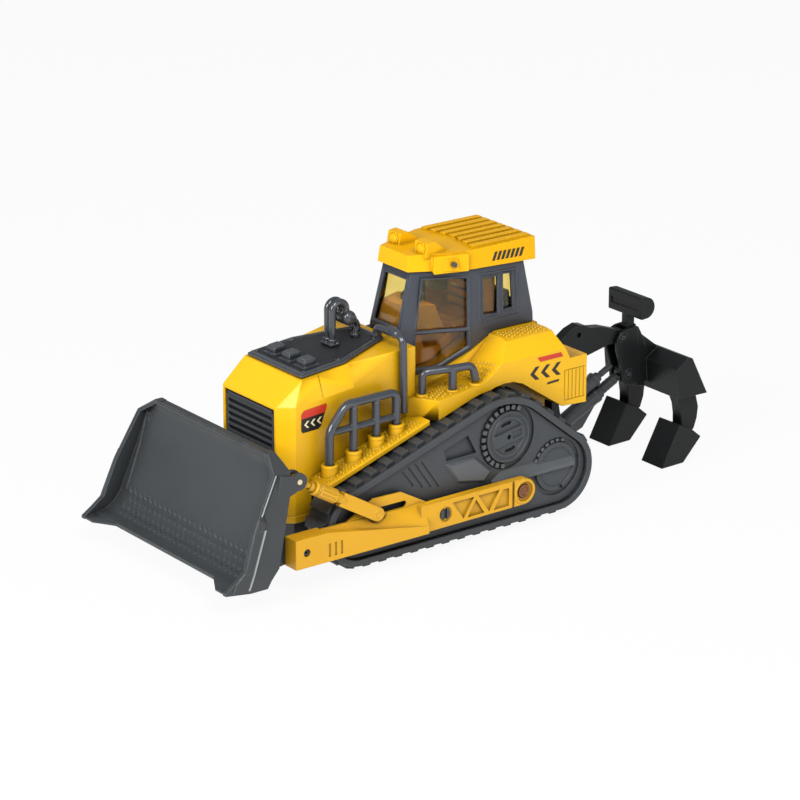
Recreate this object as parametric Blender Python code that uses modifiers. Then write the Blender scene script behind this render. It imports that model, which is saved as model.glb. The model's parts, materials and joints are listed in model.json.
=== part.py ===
"""Toy bulldozer: fixed track mouldings over hidden wheels, a lifting and
tilting blade, and a ripper on a parallel linkage.

+X is forward, +Y is the left side and +Z is up.  The origin lies on the floor
under the middle of the toy.  Sizes are in millimetres and become metres in V().
Heights are measured from a reference line that lies REF_H above the floor.
"""
import math

import bmesh
import bpy
from mathutils import Matrix, Vector

for old in list(bpy.data.objects):
    bpy.data.objects.remove(old, do_unlink=True)

# ---------------------------------------------------------------- sizes, mm
MM = 0.001
GAP = 0.3                 # between mouldings that touch
RUN = 0.15                # radial play of a pin or axle in its hole
REF_H = 23.0              # reference line above the floor
NOSE_X = 177.0            # foremost corner of the blade's end bits

WHEEL_R = 14.0
WHEEL_W = 7.0
AXLE_R = 1.5
AXLE_FRONT_X = 58.0
AXLE_REAR_X = -62.0

TUB_HALF = 26.0           # chassis tub: half width outside
TUB_WALL = 2.0
WHEEL_Y = TUB_HALF + 1.0 + WHEEL_W / 2      # middle of a hidden wheel
TUB_FRONT_X = 96.0
TUB_REAR_X = -100.0
TUB_LOW = -17.5
TUB_TOP = 26.0

HOOD_HALF = 33.5
HOOD_FRONT_X = 108.5
HOOD_NOSE_HALF = 26.6
HOOD_LOW = 6.5
HOOD_WALL = 2.0
HOOD_REAR_X = 14.0
COVER_T = 1.7             # hood cover: thickness

FENDER_Y = 51.0           # outer side of the yellow body
CAB_Y = TUB_HALF + 2.3    # half width of the raised middle of the body

TRACK_IN_Y = TUB_HALF + 15.5
TRACK_LUG_Y = 59.0        # outer end of the lugs
TRACK_OUT_Y = 62.0
LUG_H = 2.2
LUG_PITCH = 11.5
RIM_BAND = 4.0
BELT_T = 3.5
COVER_FACE_Y = 59.3

ARM_IN_Y = 62.4
ARM_REAR_Y = 68.0         # outer face of the rear part of a push arm
ARM_FRONT_Y = 70.5        # outer face of its front box
ARM_NOSE_Y = 59.7         # inner face of its nose
ARM_LOW = -4.4
ARM_TOP = 12.2
ARM_NOSE_TOP = 13.2
ARM_NOSE_X = 126.0
LIFT_X, LIFT_Z = -40.6, 4.2       # blade lift axis
LIFT_PIN_R = 4.4
TILT_X, TILT_Z = 118.4, 4.5       # blade tilt axis
TILT_PIN_R = 2.2
LUG_X, LUG_Z = 123.2, 48.3        # strut's front pin
SLOT_X, SLOT_Z = 67.0, 15.0       # strut's rear pin, in its slot
STRUT_Y = 66.6
STRUT_PIN_R = 1.7
GUSSET_Y = 63.8

LINK_RISE = math.radians(26.45)   # slope of the ripper's links at rest
LINK_L = 65.3
LOWER_X, LOWER_Z = -115.0, 3.8    # lower link's pivot on the chassis
UPPER_X, UPPER_Z = -110.0, 28.6   # upper link's pivot on the chassis
LINK_HALF = 3.5                   # half width of a link's eye
LOWER_LINK_R = 5.0                # barrel of the lower link
CYL_R = 4.3                       # the cylinder lying on it
CHEEK_T = 2.4                     # clevis cheek thickness
RIP_PIN_R = 1.6
SHANK_Y = 25.5

RAIL_R = 2.6
BEAM_REACH = 40.2         # from the ripper's lower rear pin back to its beam's rear edge
TAIL_X = LOWER_X - LINK_L * math.cos(LINK_RISE) - BEAM_REACH
X_MID = (NOSE_X + TAIL_X) / 2


def V(x, y, z):
    """A point in metres, from millimetres about the reference line."""
    return Vector((x - X_MID, y, z + REF_H)) * MM


# ------------------------------------------------------------ scene helpers
parts = bpy.data.collections.new("toy_bulldozer")
cutters = bpy.data.collections.new("cutters")
bpy.context.scene.collection.children.link(parts)
bpy.context.scene.collection.children.link(cutters)


def material(name, rgb, rough, metal=0.0, alpha=1.0):
    mat = bpy.data.materials.new(name)
    mat.use_nodes = True
    shader = mat.node_tree.nodes["Principled BSDF"]
    shader.inputs["Base Color"].default_value = (*rgb, 1.0)
    shader.inputs["Roughness"].default_value = rough
    shader.inputs["Metallic"].default_value = metal
    shader.inputs["Alpha"].default_value = alpha
    return mat


YELLOW = material("yellow_plastic", (0.90, 0.52, 0.03), 0.38)
ARM_YELLOW = material("arm_yellow_plastic", (0.82, 0.43, 0.03), 0.42)
SLATE = material("slate_plastic", (0.075, 0.082, 0.092), 0.5)
BLACK = material("black_plastic", (0.02, 0.022, 0.026), 0.45)
TRACK = material("track_plastic", (0.06, 0.068, 0.075), 0.55)
FRAME = material("cab_frame_plastic", (0.08, 0.09, 0.105), 0.45)
AMBER = material("amber_glazing", (0.78, 0.42, 0.03), 0.12, 0.0, 0.4)
BROWN = material("cab_interior_plastic", (0.16, 0.08, 0.02), 0.6)
CREAM = material("cream_pin", (0.72, 0.62, 0.42), 0.5)
STEEL = material("axle_steel", (0.55, 0.56, 0.58), 0.3, 1.0)
TYRE = material("wheel_rubber", (0.03, 0.03, 0.03), 0.8)
GEAR = material("gear_nylon", (0.75, 0.75, 0.7), 0.5)


def add(name, mesh, mat):
    obj = bpy.data.objects.new(name, mesh)
    mesh.name = name
    mesh.materials.clear()
    mesh.materials.append(mat)
    mesh.shade_smooth()
    mesh.set_sharp_from_angle(angle=math.radians(32))
    parts.objects.link(obj)
    return obj


def to_tool(obj):
    """Make an object a hidden operand of a Boolean."""
    for coll in list(obj.users_collection):
        coll.objects.unlink(obj)
    cutters.objects.link(obj)
    obj.hide_render = True
    obj.display_type = "WIRE"
    return obj


def combine(obj, others, operation):
    for other in others:
        to_tool(other)
        mod = obj.modifiers.new(operation.lower(), "BOOLEAN")
        mod.object = other
        mod.operation = operation
        mod.solver = "EXACT"
    return obj


def join(obj, *others):
    return combine(obj, others, "UNION")


def cut(obj, *others):
    return combine(obj, others, "DIFFERENCE")


def keep(obj, *others):
    return combine(obj, others, "INTERSECT")


def hull(name, points, mat):
    """Convex solid through its corner points."""
    bm = bmesh.new()
    for p in points:
        bm.verts.new(V(*p))
    made = bmesh.ops.convex_hull(bm, input=bm.verts)
    spare = [v for v in bm.verts if not v.link_faces]
    bmesh.ops.delete(bm, geom=spare, context="VERTS")
    bmesh.ops.dissolve_limit(bm, angle_limit=0.002, verts=bm.verts, edges=bm.edges)
    bmesh.ops.recalc_face_normals(bm, faces=bm.faces)
    mesh = bpy.data.meshes.new(name)
    bm.to_mesh(mesh)
    bm.free()
    return add(name, mesh, mat)


def both(points):
    """Corner points of one side, with their mirror images."""
    return [(x, s * y, z) for x, y, z in points for s in (1, -1)]


def box(name, x0, x1, y0, y1, z0, z1, mat):
    bm = bmesh.new()
    low, high = V(x0, min(y0, y1), z0), V(x1, max(y0, y1), z1)
    size = Matrix.Diagonal((*(high - low), 1.0))
    bmesh.ops.create_cube(bm, size=1.0, matrix=Matrix.Translation((low + high) / 2) @ size)
    mesh = bpy.data.meshes.new(name)
    bm.to_mesh(mesh)
    bm.free()
    return add(name, mesh, mat)


def rod(name, p0, p1, r, mat, sides=20, r_end=None):
    """Cylinder or cone between two points."""
    a, b = V(*p0), V(*p1)
    turn = (b - a).to_track_quat("Z", "Y").to_matrix().to_4x4()
    bm = bmesh.new()
    bmesh.ops.create_cone(
        bm, cap_ends=True, segments=sides, radius1=r * MM,
        radius2=(r if r_end is None else r_end) * MM, depth=(b - a).length,
        matrix=Matrix.Translation((a + b) / 2) @ turn)
    mesh = bpy.data.meshes.new(name)
    bm.to_mesh(mesh)
    bm.free()
    return add(name, mesh, mat)


def pin(name, x, z, r, y0, y1, mat, sides=20):
    """Cylinder along Y."""
    return rod(name, (x, y0, z), (x, y1, z), r, mat, sides)


def from_curve(name, curve, matrix, mat):
    """Mesh object from a curve, with its caps welded on."""
    temp = bpy.data.objects.new(name + "_curve", curve)
    temp.matrix_world = matrix
    parts.objects.link(temp)
    graph = bpy.context.evaluated_depsgraph_get()
    mesh = bpy.data.meshes.new_from_object(temp.evaluated_get(graph))
    bpy.data.objects.remove(temp, do_unlink=True)
    bm = bmesh.new()
    bm.from_mesh(mesh)
    bmesh.ops.transform(bm, matrix=matrix, verts=bm.verts)
    bmesh.ops.remove_doubles(bm, verts=bm.verts, dist=0.000002)
    bmesh.ops.recalc_face_normals(bm, faces=bm.faces)
    bm.to_mesh(mesh)
    bm.free()
    return add(name, mesh, mat)


def sheet(name, loops, lo, hi, mat, normal="y"):
    """Flat outline given thickness from lo to hi along its normal axis."""
    curve = bpy.data.curves.new(name, "CURVE")
    curve.dimensions = "2D"
    curve.fill_mode = "BOTH"
    curve.extrude = abs(hi - lo) / 2 * MM
    for loop in loops:
        spline = curve.splines.new("POLY")
        spline.points.add(len(loop) - 1)
        for point, (u, v) in zip(spline.points, loop):
            place = {"y": V(u, 0, v), "x": V(0, u, v), "z": V(u, v, 0)}[normal]
            uv = {"y": (place.x, place.z), "x": (place.y, place.z), "z": (place.x, place.y)}[normal]
            point.co = (*uv, 0.0, 1.0)
        spline.use_cyclic_u = True
    mid = (lo + hi) / 2
    if normal == "y":
        frame = Matrix(((1, 0, 0, 0), (0, 0, -1, mid * MM), (0, 1, 0, 0), (0, 0, 0, 1)))
    elif normal == "x":
        frame = Matrix(((0, 0, 1, V(mid, 0, 0).x), (1, 0, 0, 0), (0, 1, 0, 0), (0, 0, 0, 1)))
    else:
        frame = Matrix(((1, 0, 0, 0), (0, 1, 0, 0), (0, 0, 1, V(0, 0, mid).z), (0, 0, 0, 1)))
    return from_curve(name, curve, frame, mat)


def tube(name, points, r, mat, resolution=3):
    curve = bpy.data.curves.new(name, "CURVE")
    curve.dimensions = "3D"
    curve.bevel_depth = r * MM
    curve.bevel_resolution = resolution
    curve.use_fill_caps = True
    spline = curve.splines.new("POLY")
    spline.points.add(len(points) - 1)
    for point, co in zip(spline.points, points):
        point.co = (*V(*co), 1.0)
    return from_curve(name, curve, Matrix.Identity(4), mat)


def rounded(points, radius, steps=3):
    """Path with its inner corners rounded."""
    path = [Vector(points[0])]
    for before, here, after in zip(points, points[1:], points[2:]):
        a, b, c = Vector(before), Vector(here), Vector(after)
        u, w = (a - b).normalized(), (c - b).normalized()
        reach = min(radius, (a - b).length / 2.2, (c - b).length / 2.2)
        p0, p1 = b + u * reach, b + w * reach
        for k in range(steps + 1):
            t = k / steps
            path.append(p0.lerp(b, t).lerp(b.lerp(p1, t), t))
    path.append(Vector(points[-1]))
    return [tuple(p) for p in path]


def circle(cx, cz, r, n=24, start=0.0):
    return [(cx + r * math.cos(start + 2 * math.pi * k / n),
             cz + r * math.sin(start + 2 * math.pi * k / n)) for k in range(n)]


def arc(cx, cz, r, a0, a1, n):
    """Points from angle a0 to a1, in degrees."""
    return [(cx + r * math.cos(math.radians(a0 + (a1 - a0) * k / n)),
             cz + r * math.sin(math.radians(a0 + (a1 - a0) * k / n))) for k in range(n + 1)]


def origin_at(obj, x, z, y=0.0):
    """Move an object's origin to a joint axis without moving its shape."""
    place = V(x, y, z)
    obj.data.transform(Matrix.Translation(-place))
    obj.location = place
    return obj


def bound(side, lo, hi):
    """Y range on the left (+1) or the right (-1)."""
    return (side * lo, side * hi) if side > 0 else (side * hi, side * lo)


# ------------------------------------------------------------- track course
FRONT_C, FRONT_R = (74.2, 6.4), 23.4
REAR_C, REAR_R = (-72.5, 8.0), 25.0
TOP_C, TOP_R = (-28.9, 19.2), 43.5
RUN_A = 71.77             # direction, in degrees, that the upper front run faces
SLOPE_A = 128.72          # direction that the rear slope faces


def course(offset):
    """Corner-to-corner segments of the track's course, anticlockwise."""
    arcs = [(FRONT_C, FRONT_R, -90.0, RUN_A, 12), (TOP_C, TOP_R, RUN_A, SLOPE_A, 7),
            (REAR_C, REAR_R, SLOPE_A, 270.0, 11)]
    return [(c, r + offset, a0, a1, n) for c, r, a0, a1, n in arcs]


def course_loop(offset):
    loop = []
    for (cx, cz), r, a0, a1, n in course(offset):
        loop += arc(cx, cz, r, a0, a1, n)
    return loop


def course_length():
    loop = course_loop(0.0)
    return sum(math.dist(p, q) for p, q in zip(loop, loop[1:] + loop[:1]))


def course_at(s, offset):
    """Point at a length along the course, moved outward by an offset."""
    inner, outer = course_loop(0.0), course_loop(offset)
    count = len(inner)
    for k in range(count):
        p, q = inner[k], inner[(k + 1) % count]
        step = math.dist(p, q)
        if s <= step:
            a, b = outer[k], outer[(k + 1) % count]
            t = s / step
            return (a[0] + (b[0] - a[0]) * t, a[1] + (b[1] - a[1]) * t)
        s -= step
    return outer[0]


def lugged_loop():
    length = course_length()
    count = round(length / LUG_PITCH)
    pitch = length / count
    loop = []
    for k in range(count):
        mid = (k + 0.5) * pitch
        loop += [course_at(mid - 0.30 * pitch, 0.0), course_at(mid - 0.22 * pitch, LUG_H),
                 course_at(mid + 0.22 * pitch, LUG_H),
                 course_at(mid + 0.30 * pitch, 0.0)]
    return loop


def toothed(cx, cz, root, tip, teeth, width=0.5, top=0.35, start=0.0):
    """Gear-like outline with straight-sided teeth."""
    loop = []
    for k in range(teeth):
        a = start + 2 * math.pi * k / teeth
        p = 2 * math.pi / teeth
        for f, r in ((-width / 2, root), (-top / 2, tip), (top / 2, tip), (width / 2, root)):
            loop.append((cx + r * math.cos(a + f * p), cz + r * math.sin(a + f * p)))
    return loop


# ------------------------------------------------------------------ chassis
def build_chassis():
    tub = box("chassis_tub", TUB_REAR_X, TUB_FRONT_X, -TUB_HALF, TUB_HALF, TUB_LOW, TUB_TOP, BLACK)
    w = TUB_WALL
    room = box("tub_room", TUB_REAR_X + w, TUB_FRONT_X - w, -TUB_HALF + w, TUB_HALF - w,
               TUB_LOW + w, TUB_TOP + 5, BLACK)
    holes = [pin("tub_bore", x, WHEEL_R - REF_H, AXLE_R + RUN, -TUB_HALF - 1, TUB_HALF + 1, BLACK, 24)
             for x in (AXLE_FRONT_X, AXLE_REAR_X)]
    cut(tub, room, *holes)
    axle_z = WHEEL_R - REF_H
    for end, x in (("front", AXLE_FRONT_X), ("rear", AXLE_REAR_X)):
        axle = pin(f"axle_{end}", x, axle_z, AXLE_R, -WHEEL_Y - 4.0, WHEEL_Y + 4.0, STEEL, 24)
        origin_at(axle, x, axle_z)
        for side, word in ((1, "left"), (-1, "right")):
            build_wheel(f"wheel_{end}_{word}", x, axle_z, side * WHEEL_Y)
    build_gearbox(AXLE_REAR_X, axle_z)


def build_wheel(name, x, z, y):
    """Turned wheel with bevelled shoulders."""
    half = WHEEL_W / 2
    bore = AXLE_R + GAP
    shoulder = WHEEL_R - 0.8
    profile = [(bore, -half), (shoulder, -half), (WHEEL_R, -half + 0.8), (WHEEL_R, half - 0.8),
               (shoulder, half), (bore, half)]
    bm = bmesh.new()
    rings = [bm.verts.new((r * MM, 0.0, h * MM)) for r, h in profile]
    for k, vert in enumerate(rings):
        bm.edges.new((vert, rings[(k + 1) % len(rings)]))
    mesh = bpy.data.meshes.new(name)
    bm.to_mesh(mesh)
    bm.free()
    wheel = bpy.data.objects.new(name, mesh)
    parts.objects.link(wheel)
    turn = wheel.modifiers.new("turn", "SCREW")
    turn.axis = "Z"
    turn.steps = 24
    turn.render_steps = 24
    turn.use_merge_vertices = True
    turn.merge_threshold = 0.00001
    turn.use_normal_calculate = True
    mesh.materials.append(TYRE)
    wheel.location = V(x, y, z)
    wheel.rotation_euler = (math.radians(90), 0, 0)
    return wheel


# --------------------------------------------------- friction drive gearbox
GEAR_M = 0.58
GEAR_TEETH = 20
PINION_TEETH = 10
GEAR_W = 4.0


def build_gearbox(x, z):
    r_gear, r_pinion = GEAR_M * GEAR_TEETH / 2, GEAR_M * PINION_TEETH / 2
    rise = math.radians(60)
    reach = r_gear + r_pinion + 0.15
    fx, fz = x + reach * math.cos(rise), z + reach * math.sin(rise)
    outline = toothed(x, z, r_gear - 0.95 * GEAR_M, r_gear + 0.7 * GEAR_M, GEAR_TEETH, 0.56, 0.24, rise)
    gear = sheet("drive_gear", [outline, circle(x, z, AXLE_R + GAP, 20)], -GEAR_W / 2, GEAR_W / 2, GEAR)
    origin_at(gear, x, z)
    half = math.pi / PINION_TEETH
    small = toothed(fx, fz, r_pinion - 0.95 * GEAR_M, r_pinion + 0.7 * GEAR_M, PINION_TEETH,
                    0.56, 0.24, rise + math.pi + half)
    wheel = sheet("flywheel", [small], -GEAR_W / 2 - 0.3, GEAR_W / 2 + 0.3, STEEL)
    discs = [pin("fly_disc", fx, fz, 6.8, side * GEAR_W / 2, side * (GEAR_W / 2 + 4.5), STEEL, 28)
             for side in (1, -1)]
    shaft = pin("fly_shaft", fx, fz, 1.2, -12.6, 12.6, STEEL, 12)
    join(wheel, *discs, shaft)
    origin_at(wheel, fx, fz)
    case = box("gearbox", x - 12, x + 22, -13, 13, TUB_LOW + TUB_WALL + GAP, 17, GEAR)
    room = box("gear_room", x - 10.5, x + 20.5, -11.5, 11.5, TUB_LOW, 15.5, GEAR)
    bore = pin("gear_bore", x, z, AXLE_R + 0.5, -20, 20, GEAR, 20)
    seat = pin("fly_bore", fx, fz, 1.2 + RUN, -20, 20, GEAR, 20)
    cut(case, room, bore, seat)
    return fx, fz


# ------------------------------------------------------------------- tracks
def build_track(side, word):
    lugs = sheet(f"track_belt_{word}", [lugged_loop(), course_loop(-BELT_T)],
                 *bound(side, TRACK_IN_Y, TRACK_LUG_Y), TRACK)
    rim = sheet(f"track_rim_{word}", [course_loop(0.0), course_loop(-RIM_BAND)],
                *bound(side, TRACK_LUG_Y + GAP, TRACK_OUT_Y), TRACK)
    cover = sheet(f"track_cover_{word}", [course_loop(-RIM_BAND - GAP)],
                  *bound(side, COVER_FACE_Y - 4.0, COVER_FACE_Y), TRACK)
    face = COVER_FACE_Y - 1.0

    def relief(label, loop, height):
        return sheet(label, [loop], *bound(side, face, COVER_FACE_Y + height), TRACK)

    join(cover,
         relief("sprocket_disc", circle(-33.7, 37.8, 16.0, 24), 2.1),
         relief("gear_disc", circle(-71, 10.5, 15.2, 24), 0.9),
         relief("bar", [(-21, 12.6), (-27, 9.2), (-85, 9.0), (-85, 15.0), (-80, 17.0), (-31, 17.4)], 1.9),
         relief("block", [(12, 36), (9, 39.5), (-5, 36.5), (-9, 30), (-6, 25), (10, 27)], 1.9))
    screw = pin("cover_screw_hole", -73, -3, 1.5, side * (COVER_FACE_Y - 2.5), side * (COVER_FACE_Y + 3),
                TRACK, 12)
    cut(cover, screw)
    plate = sheet(f"track_frame_{word}", [course_loop(-BELT_T - GAP)],
                  *bound(side, TRACK_IN_Y, TRACK_IN_Y + 2.5), TRACK)
    posts = [pin("frame_post", px, pz, 4.0, side * (TUB_HALF + GAP), side * (COVER_FACE_Y - 4.0 - GAP),
                 TRACK, 10) for px, pz in ((20, -4), (-20, -4), (-40, 17))]
    join(plate, *posts)
    eye = pin(f"arm_pin_{word}", LIFT_X, LIFT_Z, LIFT_PIN_R, side * (COVER_FACE_Y + GAP),
              side * (ARM_REAR_Y - 1.2), TRACK, 24)
    cut(eye, pin("arm_pin_hole", LIFT_X, LIFT_Z, 2.2, side * (COVER_FACE_Y + 3),
                 side * (ARM_REAR_Y + 3), TRACK, 16))
    return lugs, rim


# ----------------------------------------------------------------- bodywork
DECK_T = 3.2
DECK_FRONT_X = 90.0
DECK_SLOPE = 0.33
DECK_LOW = 28.9           # lower edge of the front deck at its front end
PLATFORM_TOP = 65.8
PLATFORM_X = 22.0
POSTS = ((82.1, 40.1), (65.1, 45.2), (48.9, 50.6), (34.5, 54.8))
POST_Y = 42.0
POST_BOSS_R = 4.8


def deck_low(x):
    return DECK_LOW + DECK_SLOPE * (DECK_FRONT_X - x)


def body_profile():
    """Side outline of the platform and the rear body."""
    under = [(PLATFORM_X, deck_low(PLATFORM_X) + GAP + 0.6), (9.1, 52.7), (-24, 64.1),
             (-31, 66.2), (-38, 67.1), (-44.7, 66.8), (-52, 64.2), (-82.5, 43.7), (-101, 42.7)]
    over = [(-101, 73), (-88, 73), (-79, 91.0), (-45, 91.0), (-38, 82.0), (-31, 75.5), (-24, 71.3),
            (-18, 69.6), (0, 67.4), (PLATFORM_X, PLATFORM_TOP)]
    return under + over


def build_body():
    mid_top = [(HOOD_REAR_X - GAP, 70.4), (8, 70.4), (-15, 74.4), (-49, 91.4), (-80.5, 91.4)]
    body = sheet("body_shell", [[(HOOD_REAR_X - GAP, TUB_TOP + GAP)] + mid_top
                                + [(-87.5, 76), (-87.5, TUB_TOP + GAP)]], -CAB_Y, CAB_Y, YELLOW)
    room = box("body_room", -85.5, HOOD_REAR_X - GAP - 2, -TUB_HALF + 1, TUB_HALF - 1, TUB_TOP - 5, 62,
               YELLOW)
    tools = []
    for side in (1, -1):
        wing = sheet("body_wing", [body_profile()], *bound(side, CAB_Y - 0.4, FENDER_Y), YELLOW)
        shape = [(20, 20), (FENDER_Y, 20), (FENDER_Y, 79.7), (45, 88), (44.5, 90), (28, 93), (20, 93)]
        keep(wing, sheet("wing_section", [[(side * y, z) for y, z in shape]], -110, 40, YELLOW, "x"))
        corner = hull("wing_corner", [(x, side * y, z) for z in (40, 68.5) for x, y in
                      ((PLATFORM_X + 1, 33.0), (PLATFORM_X + 1, 55), (9.5, 55), (10.5, FENDER_Y),
                       (16.7, 38.7), (PLATFORM_X, 33.5))], YELLOW)
        cut(wing, corner)
        tools.append(wing)
    join(body, *tools)
    notch = box("hood_notch", HOOD_REAR_X - GAP, 60, -HOOD_HALF - GAP, HOOD_HALF + GAP, 0, 120, YELLOW)
    arches = [sheet("belt_arch", [course_loop(LUG_H + GAP)], *bound(side, TRACK_IN_Y - GAP, 60), YELLOW)
              for side in (1, -1)]
    cut(body, room, notch, *arches)
    for side, word in ((1, "left"), (-1, "right")):
        build_deck(side, word)


def build_deck(side, word):
    x0 = PLATFORM_X - 5.3
    end = [(x0, deck_low(x0)), (DECK_FRONT_X, DECK_LOW), (DECK_FRONT_X, DECK_LOW + DECK_T),
           (x0, deck_low(x0) + DECK_T)]
    deck = sheet(f"front_deck_{word}", [end], *bound(side, HOOD_HALF + GAP, FENDER_Y), YELLOW)
    bosses = [rod("rail_boss", (x, side * POST_Y, deck_low(x) + 1.0), (x, side * POST_Y, z),
                  POST_BOSS_R, YELLOW, 16) for x, z in POSTS]
    join(deck, *bosses)
    trim = hull("deck_trim", [(x, side * y, z) for z in (40, 80) for x, y in
                ((PLATFORM_X + GAP, 33.0), (16.7 + GAP, 38.7), (10.5 + GAP, FENDER_Y + 1), (5, 60),
                 (5, 33.0))],
                YELLOW)
    cut(deck, trim)


# --------------------------------------------------------------------- hood
COVER_FRONT = (90.5, 27.0)
COVER_KNEE = (60.0, 26.7)
COVER_REAR = (22.0, 13.4)


def cover_z(x):
    """Height of the hood cover's top face."""
    return 91.8 + 0.0946 * (90.5 - x)


def hood_corners(inset):
    """Corner points of the front and the rear half of the hood."""
    h, n = HOOD_HALF - inset, HOOD_NOSE_HALF - inset * 0.4
    f, low = HOOD_FRONT_X - inset, HOOD_LOW - (12 if inset else 0)
    top = COVER_T + GAP + inset
    knee = 57.8
    front = [(f, n, low), (f, n, 76.2 - inset * 0.5), (100.5 - inset * 0.5, h, low),
             (99.1 - inset * 0.5, h, 76.1 - inset * 0.5), (knee, h, low), (knee, h, 80.0 - inset),
             (91.6 - inset, 28.4 - inset * 0.5, cover_z(91.6) - top),
             (knee, 27.6 - inset * 0.5, cover_z(knee) - top)]
    rear = [(knee + 0.5, h, low), (knee + 0.5, h, 80.0 - inset),
            (knee + 0.5, 27.6 - inset * 0.5, cover_z(knee) - top),
            (26.0, h, 97.3 - inset - 1.2), (HOOD_REAR_X, h, 96.1 - inset), (HOOD_REAR_X, h, low),
            (22.0, 13.4, cover_z(22) - top)]
    return both(front), both(rear)


def build_hood():
    outer = hood_corners(0.0)
    hood = hull("hood_shell", outer[0], YELLOW)
    join(hood, hull("hood_back", outer[1], YELLOW))
    inner = hood_corners(HOOD_WALL)
    room = hull("hood_room", inner[0], YELLOW)
    back = hull("hood_back_room", [(x + (2.0 if x == HOOD_REAR_X else 0.0), y, z) for x, y, z in inner[1]],
                YELLOW)
    mouth = box("grille_mouth", HOOD_FRONT_X - 5, HOOD_FRONT_X + 3, -GRILLE_HALF, GRILLE_HALF,
                GRILLE_LOW, GRILLE_TOP, YELLOW)
    skirt = [(88.6, -5), (88.6, 21.6), (HOOD_REAR_X - 2, 49.0), (HOOD_REAR_X - 14, 49.0),
             (HOOD_REAR_X - 14, -5)]
    cut(hood, room, back, mouth, sheet("skirt_room", [skirt], -50, 50, YELLOW))
    slats = []
    pitch = (GRILLE_TOP - GRILLE_LOW - 2 * GAP) / GRILLE_SLATS
    z = GRILLE_LOW + GAP
    back_x, slot_x, face_x = HOOD_FRONT_X - 3.6, HOOD_FRONT_X - 2.2, HOOD_FRONT_X - 0.5
    for k in range(GRILLE_SLATS):
        slats += [(slot_x, z + 0.16 * pitch), (face_x, z + 0.34 * pitch), (face_x, z + 0.92 * pitch),
                  (slot_x, z + 0.98 * pitch)]
        z += pitch
    loop = [(back_x, GRILLE_LOW + GAP), (slot_x, GRILLE_LOW + GAP)] + slats + [(back_x, GRILLE_TOP - GAP)]
    sheet("grille", [loop], -GRILLE_HALF + GAP, GRILLE_HALF - GAP, BLACK)
    plan = [COVER_FRONT, COVER_KNEE, COVER_REAR]
    points = [(x, y, cover_z(x) - d) for x, y in plan for d in (0.0, COVER_T)]
    cover = hull("hood_cover", both(points), BLACK)
    caps = []
    for y in (-15, 0, 15):
        caps.append(rod("cap", (78.5, y, cover_z(78.5) - 1), (78.5, y, 96.6), 4.8, BLACK, 12))
    join(cover, *caps)
    build_exhaust()


GRILLE_HALF = 24.7
GRILLE_LOW = 16.0
GRILLE_TOP = 74.4
GRILLE_SLATS = 9


HOOP_X, HOOP_Z, HOOP_R = 46.0, 116.2, 4.9


def build_exhaust():
    """Two bent pipes with a drum between their rear ends and a thin return pipe."""
    foot = cover_z(48.5) + GAP
    pieces = []
    for y in (-3.6, 3.6):
        bend = [(x, y, z) for x, z in arc(HOOP_X, HOOP_Z, HOOP_R, 0, 180, 7)]
        path = [(HOOP_X + HOOP_R, y, foot)] + bend + [(HOOP_X - HOOP_R, y, 112.5)]
        pieces.append(tube("hoop", path, 2.1, FRAME, 2))
    hoop = pieces[0]
    hoop.name = "exhaust_hoop"
    drum = pin("drum", 40.5, 111.0, 4.4, -7.0, 7.0, FRAME, 14)
    bridge = box("hoop_bridge", 49.8, 52.0, -3.6, 3.6, foot + 1.0, foot + 4.0, FRAME)
    bent = rounded([(38, 0, 112), (30.5, 0, 104.5), (33, 0, cover_z(31) + 2 * GAP)], 4, 2)
    tail = tube("tail", bent, 1.7, FRAME, 2)
    join(hoop, pieces[1], drum, bridge, tail)


# ---------------------------------------------------------------------- cab
CAB_WALL = 1.8
ROOF_SLOPE = 0.0437
ROOF_TOP = 144.6
ROOF_LOW_FRONT = ROOF_TOP - 10.2
ROOF_FRONT_X = 5.6
ROOF_REAR_X = -79.0
ROOF_MID_X = -31.5


def roof_low(x):
    return ROOF_LOW_FRONT - ROOF_SLOPE * (ROOF_FRONT_X - x)


def head(x, band):
    """Height of a window's upper edge, a band below the roof."""
    return roof_low(x) - band


def cab_corners(inset, drop=0.0, low=60.0):
    """Corner points of the cab's walls, moved inward by an inset."""
    i = inset
    top = [(2.4 - i, 13.6 - 0.5 * i), (-31.2, 26.2 - i), (-71.6 + i, 26.2 - i)]
    waist = [(11.6 - i, 14.7 - 0.5 * i), (-31.4, 27.0 - i), (-78.2 + i, 27.4 - i)]
    foot = [(11.6 - i, 14.9 - 0.5 * i), (-31.5, 27.5 - i), (-80.0 + i, 27.6 - i)]
    points = [(x, y, roof_low(x) - GAP - drop) for x, y in top]
    points += [(x, y, 98.0) for x, y in waist] + [(x, y, low) for x, y in foot]
    return both(points)


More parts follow.
